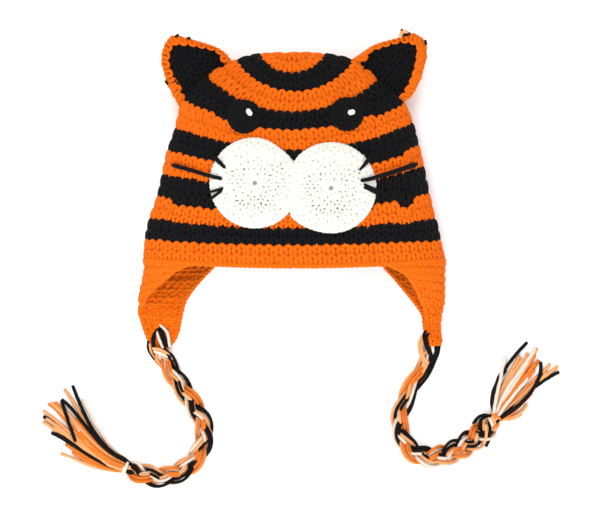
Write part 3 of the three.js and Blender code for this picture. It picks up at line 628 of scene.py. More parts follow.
def joined(name, parts):
    """Several meshes as one piece"""
    shape = bmesh.new()
    materials = []
    for part in parts:
        numbers = []
        for material in part.data.materials:
            if material not in materials:
                materials.append(material)
            numbers.append(materials.index(material))
        first = len(shape.faces)
        shape.from_mesh(part.data)
        shape.faces.ensure_lookup_table()
        for face in shape.faces[first:]:
            face.material_index = numbers[face.material_index]
        old = part.data
        bpy.data.objects.remove(part)
        bpy.data.meshes.remove(old)
    mesh = bpy.data.meshes.new(name)
    shape.to_mesh(mesh)
    shape.free()
    for material in materials:
        mesh.materials.append(material)
    return link(bpy.data.objects.new(name, mesh))


def add_node(tree, kind, values=None, links=None, **settings):
    """Adds a node with its sockets' values, the sockets that feed it and its settings"""
    node = tree.nodes.new(kind)
    for name, value in settings.items():
        setattr(node, name, value)
    for name, value in (values or {}).items():
        node.inputs[name].default_value = value
    for name, source in (links or {}).items():
        tree.links.new(source, node.inputs[name])
    return node


def new_material(name):
    """A material that has no nodes but its coordinates, in metres of the object"""
    material = bpy.data.materials.new(name)
    material.use_nodes = True
    tree = material.node_tree
    tree.nodes.clear()
    return material, tree, add_node(tree, "ShaderNodeTexCoord").outputs["Object"]


def noise(tree, place, per_metre, detail):
    """A mottled pattern with so many spots to the metre"""
    return add_node(tree, "ShaderNodeTexNoise", {"Scale": per_metre, "Detail": detail},
                    {"Vector": place}).outputs["Fac"]


def toned(tree, pattern, low, high, darkest):
    """Brightness from darkest to full as a pattern goes from low to high"""
    return add_node(tree, "ShaderNodeMapRange",
                    {"From Min": low, "From Max": high, "To Min": darkest, "To Max": 1.0},
                    {"Value": pattern}).outputs["Result"]


def bump(tree, pattern, strength, mm, **below):
    """Raises a surface by a pattern, on top of the bump below it"""
    return add_node(tree, "ShaderNodeBump", {"Strength": strength, "Distance": mm * MM},
                    {"Height": pattern, **below}).outputs["Normal"]


def dye(tree, shade, colour, brightness, normal, values):
    """Colours the surface between a shade and its full colour and ends the material"""
    dyed = add_node(tree, "ShaderNodeMix", {"A": (*shade, 1.0), "B": (*colour, 1.0)},
                    {"Factor": brightness}, data_type="RGBA")
    shader = add_node(tree, "ShaderNodeBsdfPrincipled", {"IOR": 1.49, **values},
                      {"Base Color": dyed.outputs["Result"], "Normal": normal})
    add_node(tree, "ShaderNodeOutputMaterial", {}, {"Surface": shader.outputs["BSDF"]})


PLIES = 4  # strands of fibres that the yarn is spun from
ONE_WAVE = 2 * math.pi / 10  # scale at which the wave texture has one wave to a unit
DYE_PER_METRE = 85.0  # the dye differs over about 12 mm
FIBRES_PER_METRE = 1600.0  # fibres lie in bunches about 0.3 mm wide and 0.3 mm apart
MATTED_PER_METRE = 900.0  # and in flattened ones about 1 mm wide between the stitches
GLOW_DEPTH = (3.0 * MM, 0.9 * MM, 0.3 * MM)  # how far red, green and blue light goes through yarn


def acrylic_yarn(name, colour, shade, sheen, sheen_tint, glow):
    """Spun acrylic yarn of four plies: dull, slightly mottled by its dye, with slanting ridges where
    the plies turn round each other, painted shade in the grooves between them, and a thin halo of
    loose fibres that catches the light. Light that goes through bright yarn warms the hollows
    between its stitches."""
    material, tree, place = new_material(name)
    # One unit of the map is one turn of the plies along the yarn, or once round it
    plies = add_node(tree, "ShaderNodeUVMap", uv_map="plies")
    wound = add_node(tree, "ShaderNodeMapping", {"Scale": (PLIES, PLIES, 1)},
                     {"Vector": plies.outputs["UV"]})
    ridges = add_node(tree, "ShaderNodeTexWave", {"Scale": ONE_WAVE, "Distortion": 0.0},
                      {"Vector": wound.outputs["Vector"]}, wave_type="BANDS",
                      bands_direction="DIAGONAL", wave_profile="SIN").outputs["Fac"]
    mottle = noise(tree, place, DYE_PER_METRE, 3.0)
    fibres = noise(tree, place, FIBRES_PER_METRE, 2.0)
    # The dye's mottle, times painted shade in the grooves between the plies
    mottle_and_groove_shade = add_node(tree, "ShaderNodeMath", {}, {0: toned(tree, mottle, 0.3, 0.7, 0.88),
                                                1: toned(tree, ridges, 0.0, 0.5, 0.82)},
                   operation="MULTIPLY")
    normal = bump(tree, fibres, 0.5, 0.18, Normal=bump(tree, ridges, 0.55, 0.35))
    dye(tree, shade, colour, mottle_and_groove_shade.outputs[0], normal,
        {"Roughness": 0.9, "Specular IOR Level": 0.12, "Sheen Weight": sheen, "Sheen Roughness": 0.45,
         "Sheen Tint": (*sheen_tint, 1.0), "Subsurface Weight": glow, "Subsurface Scale": 1.0,
         "Subsurface Radius": GLOW_DEPTH})
    return material


def shaded_matted_yarn(name, colour, shade):
    """The same yarn deep between the stitches, where only flattened fibres show, painted darker than
    the yarn itself as shade in the holes
    """
    material, tree, place = new_material(name)
    bunches = noise(tree, place, MATTED_PER_METRE, 3.0)
    dye(tree, shade, colour, bunches, bump(tree, bunches, 0.7, 0.4),
        {"Roughness": 0.95, "Specular IOR Level": 0.1})
    return material


# The yarns by letter: the setting that has the colour, the darker colour that the dye's mottle
#  reaches and that is painted into the grooves between the plies as shade, how strong the fibres'
#  halo is and its colour, and the share of the light that goes through
YARNS = {
    "O": ("orange", "e65200", 0.05, "ffc08a", 0.3), "B": ("black", "0c0c0e", 0.01, "8a8a96", 0.0),
    "W": ("white", "d2cfc4", 0.05, "ffffff", 0.0), "T": ("faded_orange", "c4561a", 0.05, "ffc08a", 0.0),
    "C": ("cream", "b8a594", 0.05, "fff4e8", 0.0), "A": ("apricot", "c47c48", 0.05, "ffe0c4", 0.0),
}
# The same yarns between the stitches, painted darker as shade, with their lighter and darker colour
SHADED_MATTED_YARNS = {"o": ("orange", "e65600", "c44400"), "b": ("black", "0c0c0e", "060607"),
                "w": ("white", "b2afa5", "87847a")}
_materials = {}


def materials_of(context):
    """The yarns' materials, made once"""
    if not _materials:
        settings = context.scene.hat_yarns
        for letter, (name, shade, sheen, tint, glow) in YARNS.items():
            _materials[letter] = acrylic_yarn(name + "_acrylic_yarn", getattr(settings, name),
                                              to_linear(shade), sheen, to_linear(tint), glow)
        for letter, (name, colour, shade) in SHADED_MATTED_YARNS.items():
            _materials[letter] = shaded_matted_yarn(name + "_yarn_shaded_in_the_stitches", to_linear(colour),
                                             to_linear(shade))
    return _materials


CROWN_COLUMNS_ROUND = 272
QUARTERS = 4  # rings of the crown's grid to a round
# The last rounds, from the first of these to the rim, end this many rounds higher, so that the
# chain along the rim reaches just to it
CHAIN_FROM = 20
CHAIN_ROOM = 0.26
# Where the face's rows dip below those beside them: the round that dips most, how many rounds it
# takes to fade, the dip in rounds and the stretch of the face
DIPS = ((17.2, 2.6, 0.6, -92, 64), (17.2, 2.6, 0.2, 60, 96), (17.2, 2.6, 0.6, 77, 93),
        (13.1, 2.2, 0.42, 52, 87), (9.0, 2.0, 0.44, 57, 94), (9.0, 2.0, -0.3, -88, -54))
DIP_EDGE = 5.0  # mm over which a dip fades at its sides
FACE_ABOVE = 23.0  # mm above the ground that all places of the face lie
_fabrics = {}


def crown_fabric():
    """The crown's fabric, made once"""
    if "crown" not in _fabrics:
        rings = [ring_in_place(q / QUARTERS) for q in range(LAST_ROUND * QUARTERS + 1)]
        _fabrics["crown"] = Fabric(rings, wraps=True, per_row=QUARTERS)
    return _fabrics["crown"]


def ring_in_place(place):
    """The points round the crown at a round, with the dips of the face's rows"""
    drawn_up = place - CHAIN_ROOM * np.clip((place - CHAIN_FROM) / (LAST_ROUND - CHAIN_FROM), 0, 1)
    ring = crown_ring(drawn_up, CROWN_COLUMNS_ROUND)
    x, z = ring[:, 0], ring[:, 2]
    lower = np.zeros(len(ring))
    for middle, fade, dip, left, right in DIPS:
        near = np.clip(1 - abs(place - middle) / fade, 0, 1)
        within = np.clip((x - left) / DIP_EDGE, 0, 1) * np.clip((right - x) / DIP_EDGE, 0, 1)
        lower += dip * (3 * near ** 2 - 2 * near ** 3) * within * (z > FACE_ABOVE)
    if np.any(lower):
        below = crown_ring(drawn_up + 1, CROWN_COLUMNS_ROUND)
        ring = ring + (below - ring) * lower[:, None]
    return ring


BEND_STEPS = 36  # points of each bend of a flap's section


def flap_line(row):
    """A section of a flap, from its free front edge over the fold to its back edge on the ground"""
    r = dict(zip(FLAP_COLUMNS, row))
    line = []
    arc = math.radians(r["arc"])
    if arc > 0:
        angle = arc * (1 - np.arange(BEND_STEPS) / BEND_STEPS)
        share = (1 - np.cos(angle)) / (1 - math.cos(arc))
        up = np.sin(angle) / math.sin(arc)
        line += list(zip(r["fold_x"] + (r["front_x"] - r["fold_x"]) * share,
                         r["fold_y"] + (r["front_y"] - r["fold_y"]) * up ** 2,
                         r["fold_z"] + (r["front_z"] - r["fold_z"]) * up))
    if r["turn"] > 0:
        angle = np.pi / 2 * np.arange(BEND_STEPS + 1) / BEND_STEPS
        share = r["turn"] / abs(r["back_x"] - r["fold_x"]) * (1 - np.cos(angle))
        line += list(zip(r["fold_x"] + (r["back_x"] - r["fold_x"]) * share,
                         r["fold_y"] + (r["back_y"] - r["fold_y"]) * share,
                         r["fold_z"] * (1 - np.sin(angle))))
    if not line:
        line.append((r["fold_x"], r["fold_y"], 0))
    line.append((r["back_x"], r["back_y"], 0))
    return np.array(line, float)


FLAP_COLUMNS_ACROSS = 60
FLAP_PER_ROW = 3
RIM_OVERLAP = 0.05  # rounds by which flaps and chain lie beyond the rim


def rim_share(x, is_front):
    """The place along the rim, as a share of the way round, that is nearest to x"""
    share = np.linspace(0, 1, 2000, endpoint=False)
    rim = crown_fabric().at(LAST_ROUND, share, 0.0)
    wrong_layer = (rim[:, 2] > crown_at(LAST_ROUND)["fold_z"]) != is_front
    return float(share[np.argmin(np.abs(rim[:, 0] - x) + 1e3 * wrong_layer)])


def rim_span(side):
    """The stretch of the rim that a flap is worked on, from its front edge to its back edge"""
    front_x, back_x = FLAP_RIMS[side]
    start, end = rim_share(front_x, True), rim_share(back_x, False)
    if side == "right" and end < start:
        end += 1
    if side == "left" and end > start:
        end -= 1
    return start, end


def flap_fabric(side):
    """The fabric of a flap, which begins on the rim"""
    table = LEFT_FLAP if side == "left" else RIGHT_FLAP
    share = np.linspace(*rim_span(side), FLAP_COLUMNS_ACROSS)
    rim = crown_fabric().at(LAST_ROUND + RIM_OVERLAP, share, 0.0)
    rows = np.array([rim] + [evenly(flap_line(row), FLAP_COLUMNS_ACROSS) for row in table])
    at = np.linspace(0, len(rows) - 1, (len(rows) - 1) * FLAP_PER_ROW + 1)
    low = np.minimum(at.astype(int), len(rows) - 2)
    mix = (at - low)[:, None, None]
    grid = rows[low] * (1 - mix) + rows[low + 1] * mix
    return Fabric(grid, wraps=False, per_row=FLAP_PER_ROW, turned=1 if side == "right" else -1)


CHAIN_POINTS = 8  # points of a chain's strand to one stitch


def rope(line, out, up, pitch, radius, width):
    """The chain along an edge: two strands that turn round each other once for each stitch"""
    along = travelled(line)
    stitches = max(1, round(along[-1] / pitch))
    stitch = np.arange(stitches * CHAIN_POINTS + 1) / CHAIN_POINTS
    line, out, up = (sampled(v, along / along[-1], stitch / stitches) for v in (line, out, up))
    yarns = []
    for half_turn in (0, np.pi):
        angle = (2 * np.pi * stitch + half_turn)[:, None]
        yarns.append(Yarn(line + radius * (out * np.cos(angle) + up * np.sin(angle)), width, tips=0.7))
    return yarns


def chain_below(fabric, row, above, depth, pitch, radius, width):
    """The chain along a row, at a depth in mm below the right side and away from the row above"""
    share = np.linspace(0, 1, 400)
    line = fabric.at(row, share, -depth)
    out = unit(line - fabric.at(above, share, -depth))
    up = fabric.at(row, share, 1 - depth) - line
    return rope(line, out, up, pitch, radius, width)


class SolidSurface:
    """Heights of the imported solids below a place, in mm"""

    def __init__(self, *names):
        meshes = [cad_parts[name].data for name in names]
        self.trees = [BVHTree.FromPolygons([v.co for v in mesh.vertices],
                                           [tuple(p.vertices) for p in mesh.polygons])
                      for mesh in meshes]

    def height(self, x, y):
        above, down = Vector((x * MM, y * MM, 0.2)), Vector((0, 0, -1))
        hits = [tree.ray_cast(above, down)[0] for tree in self.trees]
        return max([0.0] + [hit.z / MM for hit in hits if hit is not None])


FLOOR_HALF = 4.0  # half the floor's width in m
# Lamps: name, place beside the photograph's middle and size in m, and share of the softbox's power.
# The softbox is above and to the upper left, and the fill shines low into the flaps.
LAMPS = (("softbox", (-0.35, 0.95, 1.6), 1.2, 1.0), ("fill", (-0.05, -1.3, 1.0), 1.4, 1.4))


class HAT_OT_lay_stage(bpy.types.Operator):
    """Puts down the floor, the camera straight above it and the soft light"""

    bl_idname = "hat.lay_stage"
    bl_label = "Lay the stage"

    def execute(self, context):
        stage = context.scene.hat_stage
        centre_x = (PHOTO_WIDTH_PX / 2 - ORIGIN_PX[0]) * PIXEL_MM * MM
        centre_y = (ORIGIN_PX[1] - PHOTO_HEIGHT_PX / 2) * PIXEL_MM * MM
        self.camera(context, stage, centre_x, centre_y)
        self.floor(stage)
        self.light(context, stage, centre_x, centre_y)
        context.scene.view_settings.view_transform = "Standard"
        return {"FINISHED"}

    def camera(self, context, stage, x, y):
        """A lens that shows the photograph's width at the focus height"""
        data = bpy.data.cameras.new("camera")
        half_width = PHOTO_WIDTH_PX / 2 * PIXEL_MM * MM
        distance = stage.camera_height - stage.focus_height
        data.lens = data.sensor_width / 2 * distance / half_width
        camera = link(bpy.data.objects.new("camera", data))
        camera.location = (x, y, stage.camera_height)
        context.scene.camera = camera

    def floor(self, stage):
        shape = bmesh.new()
        bmesh.ops.create_grid(shape, x_segments=1, y_segments=1, size=FLOOR_HALF)
        mesh = bpy.data.meshes.new("floor")
        shape.to_mesh(mesh)
        shape.free()
        # Matt paper, which shows soft shadows and no gloss
        material = bpy.data.materials.new("matt_paper_backdrop")
        material.use_nodes = True
        paper = material.node_tree.nodes["Principled BSDF"]
        paper.inputs["Base Color"].default_value = tuple(stage.floor_colour) + (1.0,)
        paper.inputs["Roughness"].default_value = 0.85
        paper.inputs["Specular IOR Level"].default_value = 0.1
        mesh.materials.append(material)
        link(bpy.data.objects.new("floor", mesh))

    def light(self, context, stage, x, y):
        """Even light from all round, and lamps turned to the hat"""
        world = bpy.data.worlds.new("studio")
        world.use_nodes = True
        sky = world.node_tree.nodes["Background"]
        sky.inputs["Color"].default_value = (1.0, 1.0, 1.0, 1.0)
        sky.inputs["Strength"].default_value = stage.sky_strength
        context.scene.world = world
        for name, place, size, share in LAMPS:
            data = bpy.data.lights.new(name, "AREA")
            data.size = size
            data.energy = stage.key_power * share
            lamp = link(bpy.data.objects.new(name, data))
            lamp.location = (x + place[0], y + place[1], place[2])
            towards = Vector((x, y, 0)) - lamp.location
            lamp.rotation_euler = towards.to_track_quat("-Z", "Y").to_euler()


TIE_STEPS = 150
STRAND_SWING = 3.6  # mm that a strand's middle swings to each side
STRAND_RISE = 2.3  # mm that it rises and sinks where strands cross
BUNDLE_WIDTH = 3.1  # mm from a strand's middle to the middles of its outer yarns
BUNDLE_DEPTH = 0.9
# Turns of the plait on each tie, the share of them that its drawing tighter adds, and its width at
# the flap and at the knot as shares of the full one
PLAITS = {"left": (3.1, 0.1, 1.0, 1.1), "right": (3.4, 0.6, 0.85, 1.28)}
WIDTH_PLACES = (0, 0.5, 0.85)  # shares of the way at the flap's width, the full one and the knot's
# Share of the width that is left at both ends, and shares of the way over which it is drawn in there
GATHERED, GATHERED_FIRST, GATHERED_LAST = 0.55, 0.05, 0.04
ROLL = 0.8  # radians that a bundle rolls each way as it crosses the others
LOOSE = 0.2  # radians that a yarn's place in its bundle differs
YARN_ORDER = "BOCA"
TIE_DYES = "BTCA"  # the orange of the ties has faded
WRAP_WIDTH, WRAP_HEIGHT = 4.6, 3.7  # mm from the middle of the tie to the yarn wound round it
BUNCH_WIDTH = {"left": 5.4, "right": 4.2}  # mm from the middle of the loose ends to their sides
HEAP_STEP = 2.0  # mm from one layer of loose ends to the next
LAYER_RISE = 1.5  # mm from one layer to the next in the knot
FLUFFED = 1.18  # loose ends are wider than the same yarn in the plait
# Shares of the way to its tip over which a loose end keeps the way that it leaves, and has the way
# that it arrives, and the share of its layer's height that it has lost at the tip
LEAVING, ARRIVING, SETTLED = 0.36, 0.3, 0.7
LAYERS = 3  # the highest layer
WANDER = 0.1  # mm that a loose end strays from one of its points to the next
UP = np.array([0.0, 0.0, 1.0])


def left_of(heading):
    """The flat direction to the left of a heading"""
    return np.stack([-heading[..., 1], heading[..., 0], 0 * heading[..., 0]], axis=-1)


def turned(direction, angle):
    """A flat direction turned counterclockwise by an angle in degrees"""
    turn = math.radians(angle)
    x, y = direction[:2]
    along, across = math.cos(turn), math.sin(turn)
    return np.array([x * along - y * across, x * across + y * along, 0])


class HAT_OT_plait_ties(bpy.types.Operator):
    """Plaits the ties, with the knots and tassels at their ends"""

    bl_idname = "hat.plait_ties"
    bl_label = "Plait the ties"

    def execute(self, context):
        for side in ("left", "right"):
            self.tie(context, side)
        return {"FINISHED"}

    def tie(self, context, side):
        width = context.scene.hat_yarns.tie_yarn
        colours = [materials_of(context)[letter] for letter in TIE_DYES]
        rng = np.random.default_rng(SEED + (side == "left"))
        path = catmull_rom([(x, y, TIE_HEIGHT) for x, y in TIES[side]], TIE_STEPS)
        heading = unit(path[-1] - path[-2])
        braid = yarn_piece(f"plait_{side}", self.strands(path, side, width, rng), colours)
        ride(braid, "braid_yarns", f"braid_{side}")
        knot = yarn_piece(f"knot_wraps_{side}", self.wraps(path[-1], heading, side, width), colours)
        ride(knot, "white_yarn", f"knot_{side}")
        loose = self.ends(path[-1], heading, side, width, rng)
        ends = yarn_piece(f"tassel_ends_{side}", loose, colours)
        ride(ends, "braid_yarns", f"tassel_{side}")
        loops = yarn_piece(f"tie_loops_{side}", self.loops(side, width), colours)
        ride(loops, "braid_yarns")
        float(travelled(path)[-1]) * MM

    def strands(self, path, side, width, rng):
        """The yarns of three strands that cross over each other in turn"""
        sideways = left_of(unit(np.gradient(path, axis=0)))
        share = np.linspace(0, 1, len(path))
        turns, tighter, first_width, last_width = PLAITS[side]
        turn = turns * ((1 - tighter) * share + tighter * share ** 2)
        # The strands come together at both ends
        opened = np.clip(share / GATHERED_FIRST, 0, 1) * np.clip((1 - share) / GATHERED_LAST, 0, 1)
        gathered = GATHERED + (1 - GATHERED) * opened
        gathered = gathered * np.interp(share, WIDTH_PLACES, (first_width, 1.0, last_width))
        yarns = []
        for strand, colours in enumerate(BUNDLES):
            phase = 2 * np.pi * (turn + strand / 3)
            swing = STRAND_SWING * np.sin(phase) * gathered
            rise = STRAND_RISE * np.sin(2 * phase) * gathered
            roll = ROLL * np.sin(phase / 2 + strand)
            for i, colour in enumerate(colours):
                wind = 2 * np.pi * (i / len(colours)) + roll + rng.uniform(-LOOSE, LOOSE)
                across = swing + BUNDLE_WIDTH * gathered * np.cos(wind)
                height = rise + BUNDLE_DEPTH * np.sin(wind)
                line = path + sideways * across[:, None] + UP * height[:, None]
                yarns.append(Yarn(line, width, colour=YARN_ORDER.index(colour)))
        return yarns

    def wraps(self, start, heading, side, width):
        """Yarn wound round the end of the plait"""
        yarns = []
        for colour, turns, first, last, tilt in KNOT_WRAPS[side]:
            t = np.linspace(0, 1, round(turns * 16) + 1)[:, None]
            angle = 2 * np.pi * turns * t
            sideways = turned(left_of(heading), tilt)
            line = (start + heading * (first + (last - first) * t)
                    + sideways * WRAP_WIDTH * np.cos(angle) + UP * WRAP_HEIGHT * np.sin(angle))
            yarns.append(Yarn(line, width, colour=YARN_ORDER.index(colour)))
        return yarns

    def ends(self, start, heading, side, width, rng):
        """Loose yarn ends that leave the knot in a bundle and spread over the ground"""
        sideways = left_of(heading)
        radius = width / MM / 2
        knot_end = start + heading * KNOT_LENGTH
        rows = [dict(zip(TASSEL_COLUMNS, row)) for row in TASSELS[side]]
        # Ends that fan out to one side also lie at that side of the bundle
        order = np.argsort([self.bearing(r, knot_end, heading) + r["leave"] for r in rows])
        beside = np.zeros(len(rows))
        beside[order] = np.linspace(-1, 1, len(rows)) * BUNCH_WIDTH[side]
        yarns = []
        for r, aside in zip(rows, beside):
            rise = UP * LAYER_RISE * (r["layer"] - LAYERS / 2)
            first = knot_end + sideways * aside + rise
            tip = np.array([r["x"], r["y"], radius])
            flat = (tip - first) * [1, 1, 0]
            reach = np.linalg.norm(flat)
            leaving = turned(heading, r["leave"]) * reach * LEAVING
            arriving = turned(flat / reach, r["arrive"]) * reach * ARRIVING
            t = np.linspace(0, 1, 28)[:, None]
            line = (first * (1 - t) ** 3 + 3 * (first + leaving) * t * (1 - t) ** 2
                    + 3 * (tip - arriving) * t ** 2 * (1 - t) + tip * t ** 3)
            # The layers lie on each other by the knot and nearly all on the ground at the tips
            layered = r["layer"] * HEAP_STEP
            heap = radius + layered * (1 - SETTLED * t[:, 0])
            line[:, 2] = heap + (first[2] - heap[0]) * (1 - t[:, 0]) ** 3
            # Each end begins inside the knot, where the bundle is narrower
            points = [start - heading * 2 + sideways * aside * 0.6 + rise * 0.7, *line]
            if (r["x"], r["y"]) == FOLDED_END[0]:
                back = np.array([*FOLDED_END[1], radius + layered]) - line[-1]
                points += [line[-1] + back * share for share in (0.08, 0.4, 0.7, 1.0)]
            route = catmull_rom(points, 34)
            wander = np.cumsum(rng.normal(0, WANDER, route.shape), axis=0)
            route += wander - wander[0]
            yarns.append(Yarn(route, width * FLUFFED, False, YARN_ORDER.index(r["yarn"]), 0.85))
        return yarns

    def bearing(self, row, knot_end, heading):
        """How far a tip lies to the left of the heading, in degrees"""
        turn = math.atan2(row["y"] - knot_end[1], row["x"] - knot_end[0])
        turn -= math.atan2(heading[1], heading[0])
        return math.degrees((turn + math.pi) % (2 * math.pi) - math.pi)

    def loops(self, side, width):
        """The yarns looped through the flap, and the loose ones at the knot"""
        return [Yarn(catmull_rom(route, 28), width, False, YARN_ORDER.index(colour), 0.7)
                for colour, route in TIE_LOOPS[side]]


BACKING_DEPTHS = (-1.7, -2.8)  # mm from the right side to both faces of the crown's dense middle
BACKING_COLUMNS = 136
COLOUR_REACH = 1.1  # rounds by which the stitches of a stripe reach into the row above
CHAIN_WIDTH = 0.95  # the chains' share of the hat yarn's width
CHAIN_RADIUS = {"rim": 1.15, "flap": 1.0, "ear": 1.2, "disc": 0.7}  # mm from its middle to a strand's


class HAT_OT_crochet_crown(bpy.types.Operator):
    """Crochets the striped crown in rounds from the top of the head to the rim"""

    bl_idname = "hat.crochet_crown"
    bl_label = "Crochet the crown"

    def execute(self, context):
        fabric = crown_fabric()
        yarn = context.scene.hat_yarns
        material = materials_of(context)
        rng = np.random.default_rng(SEED)
        self.backing(fabric, material)
        for name, first, last, is_black in STRIPES:
            yarns = []
            for row in range(first, last + 1):
                count = self.stitches(context, fabric, row)
                work_row(yarns, OUTSIDE + INSIDE[:1], fabric, row, count, yarn.hat_yarn,
                         yarn.unevenness, rng, phase=0.5 * (row % 2))
            if name == "rim_orange":
                pitch = context.scene.hat_crochet.stitch_width / MM
                yarns += chain_below(fabric, LAST_ROUND + RIM_OVERLAP, LAST_ROUND - 0.5, WALL / 2,
                                     pitch, CHAIN_RADIUS["rim"], yarn.hat_yarn * CHAIN_WIDTH)
            stripe = yarn_piece(f"crown_{name}", yarns, [material["B" if is_black else "O"]], sides=6)
            ride(stripe, "black_yarn" if is_black else "orange_yarn")
        return {"FINISHED"}

    def stitches(self, context, fabric, row):
        """How many stitches a round has, which grows until the hat is as wide as the head"""
        crochet = context.scene.hat_crochet
        fitting = round(fabric.width(row - 0.5) / (crochet.stitch_width / MM))
        return int(np.clip(fitting, 6, crochet.most_stitches))

    def backing(self, fabric, material):
        """The dense middle of the fabric, which closes the holes between the stitches, in yarn painted
        darker as shade
        """
        rows = np.arange(0, LAST_ROUND * 2 + 1) / 2
        share = np.linspace(0, 1, BACKING_COLUMNS, endpoint=False)
        outer, inner = (fabric.at(rows[:, None], share[None, :], depth) for depth in BACKING_DEPTHS)
        outer[0] = outer[0].mean(axis=0)
        inner[0] = inner[0].mean(axis=0)
        is_black = np.zeros(len(rows), int)
        for _, first, last, black in STRIPES:
            is_black[(rows >= first - COLOUR_REACH) & (rows < last + 1 - COLOUR_REACH)] = black
        piece = grid_piece("crown_backing", np.concatenate([outer, inner[::-1]]),
                           [material["o"], material["b"]], True, [*is_black, *is_black[::-1]])
        ride(piece, "orange_yarn", "crown")


FLAP_BACKING_DEPTHS = (-2.3, -2.8)  # deeper than the crown's, which leaves its small holes dark
FLAP_YARN = 0.95  # shares of the hat yarn's width
FLAP_CHAIN = 0.9
FLAP_CHAIN_IN = 0.9  # mm from the flap's edge to the middle of its chain


class HAT_OT_crochet_flaps(bpy.types.Operator):
    """Crochets the ear flaps on from the rim"""

    bl_idname = "hat.crochet_flaps"
    bl_label = "Crochet the ear flaps"

    def execute(self, context):
        pitch = context.scene.hat_crochet.flap_stitch / MM
        yarn = context.scene.hat_yarns
        material = materials_of(context)
        for side in ("left", "right"):
            fabric = flap_fabric(side)
            rng = np.random.default_rng(SEED + 3)
            rows = (fabric.points.shape[0] - 1) // FLAP_PER_ROW
            yarns = []
            for row in range(1, rows + 1):
                count = max(2, round(fabric.width(row - 0.5) / pitch))
                work_row(yarns, OUTSIDE + INSIDE, fabric, row, count, yarn.hat_yarn * FLAP_YARN,
                         yarn.unevenness, rng)
            yarns += self.edging(fabric, rows, pitch, yarn.hat_yarn * FLAP_CHAIN)
            stitches = yarn_piece(f"flap_{side}_stitches", yarns, [material["O"]], sides=6)
            ride(stitches, "orange_yarn")
            self.backing(side, fabric, rows, material)
        return {"FINISHED"}

    def edging(self, fabric, rows, pitch, width):
        """A chain along the free edge, from the rim round the tip and back to the rim"""
        # Rows and shares of the way across: along the edge, and a little inward of it
        down = np.linspace(0, rows, 60)
        across = np.linspace(0, 1, 20)[1:-1]
        at_tip = np.full(len(across), float(rows))
        at_edge = (np.concatenate([down, at_tip, down[::-1]]),
                   np.concatenate([0 * down, across, 0 * down + 1]))
        inward = (np.concatenate([down, at_tip - 0.5, down[::-1]]),
                  np.concatenate([0 * down + 0.1, across, 0 * down + 0.9]))
        line = fabric.at(*at_edge, -WALL / 2)
        out = unit(line - fabric.at(*inward, -WALL / 2))
        up = fabric.at(*at_edge, 1 - WALL / 2) - line
        return rope(line - out * FLAP_CHAIN_IN, out, up, pitch, CHAIN_RADIUS["flap"], width)

    def backing(self, side, fabric, rows, material):
        """The dense middle of a flap, round which the grid goes once, in yarn painted darker as shade
        """
        down = np.linspace(0, rows, rows * 2 + 1)[:, None]
        across = np.linspace(0, 1, 46)
        outer, inner = FLAP_BACKING_DEPTHS
        grid = np.concatenate([fabric.at(down, across[None, :], outer),
                               fabric.at(down, across[None, ::-1], inner)], axis=1)
        piece = grid_piece(f"flap_{side}_backing", grid, [material["o"]], True, cap_ends=True)
        ride(piece, "orange_yarn", f"flap_{side}")


EAR_ROWS = 6
EAR_POINTS = 90  # along each row
EAR_YARNS = "OBA"
PANEL_SKIPPED = 0.14  # share of the seam above the panel
EAR_SEAM_IN = 2.5  # mm that the seam lies within the side fold
PANEL_IN, OUTLINE_IN = 1.0, 1.9  # mm from the outlines of the table to the edges of the layers
EAR_CHAIN_IN = 1.3  # mm from the ear's edge to the middle of its chain
EAR_EDGING_RAISED = 0.9  # mm that the edging lies above the panel
# Mm from the ear's front to its dense middle, at the edge and under the panel, and from its back
EAR_EDGE_DEPTH, EAR_PANEL_DEPTH, EAR_BACK_DEPTH = 2.7, 1.5, 2.1
EAR_BACKING_STEPS = 9


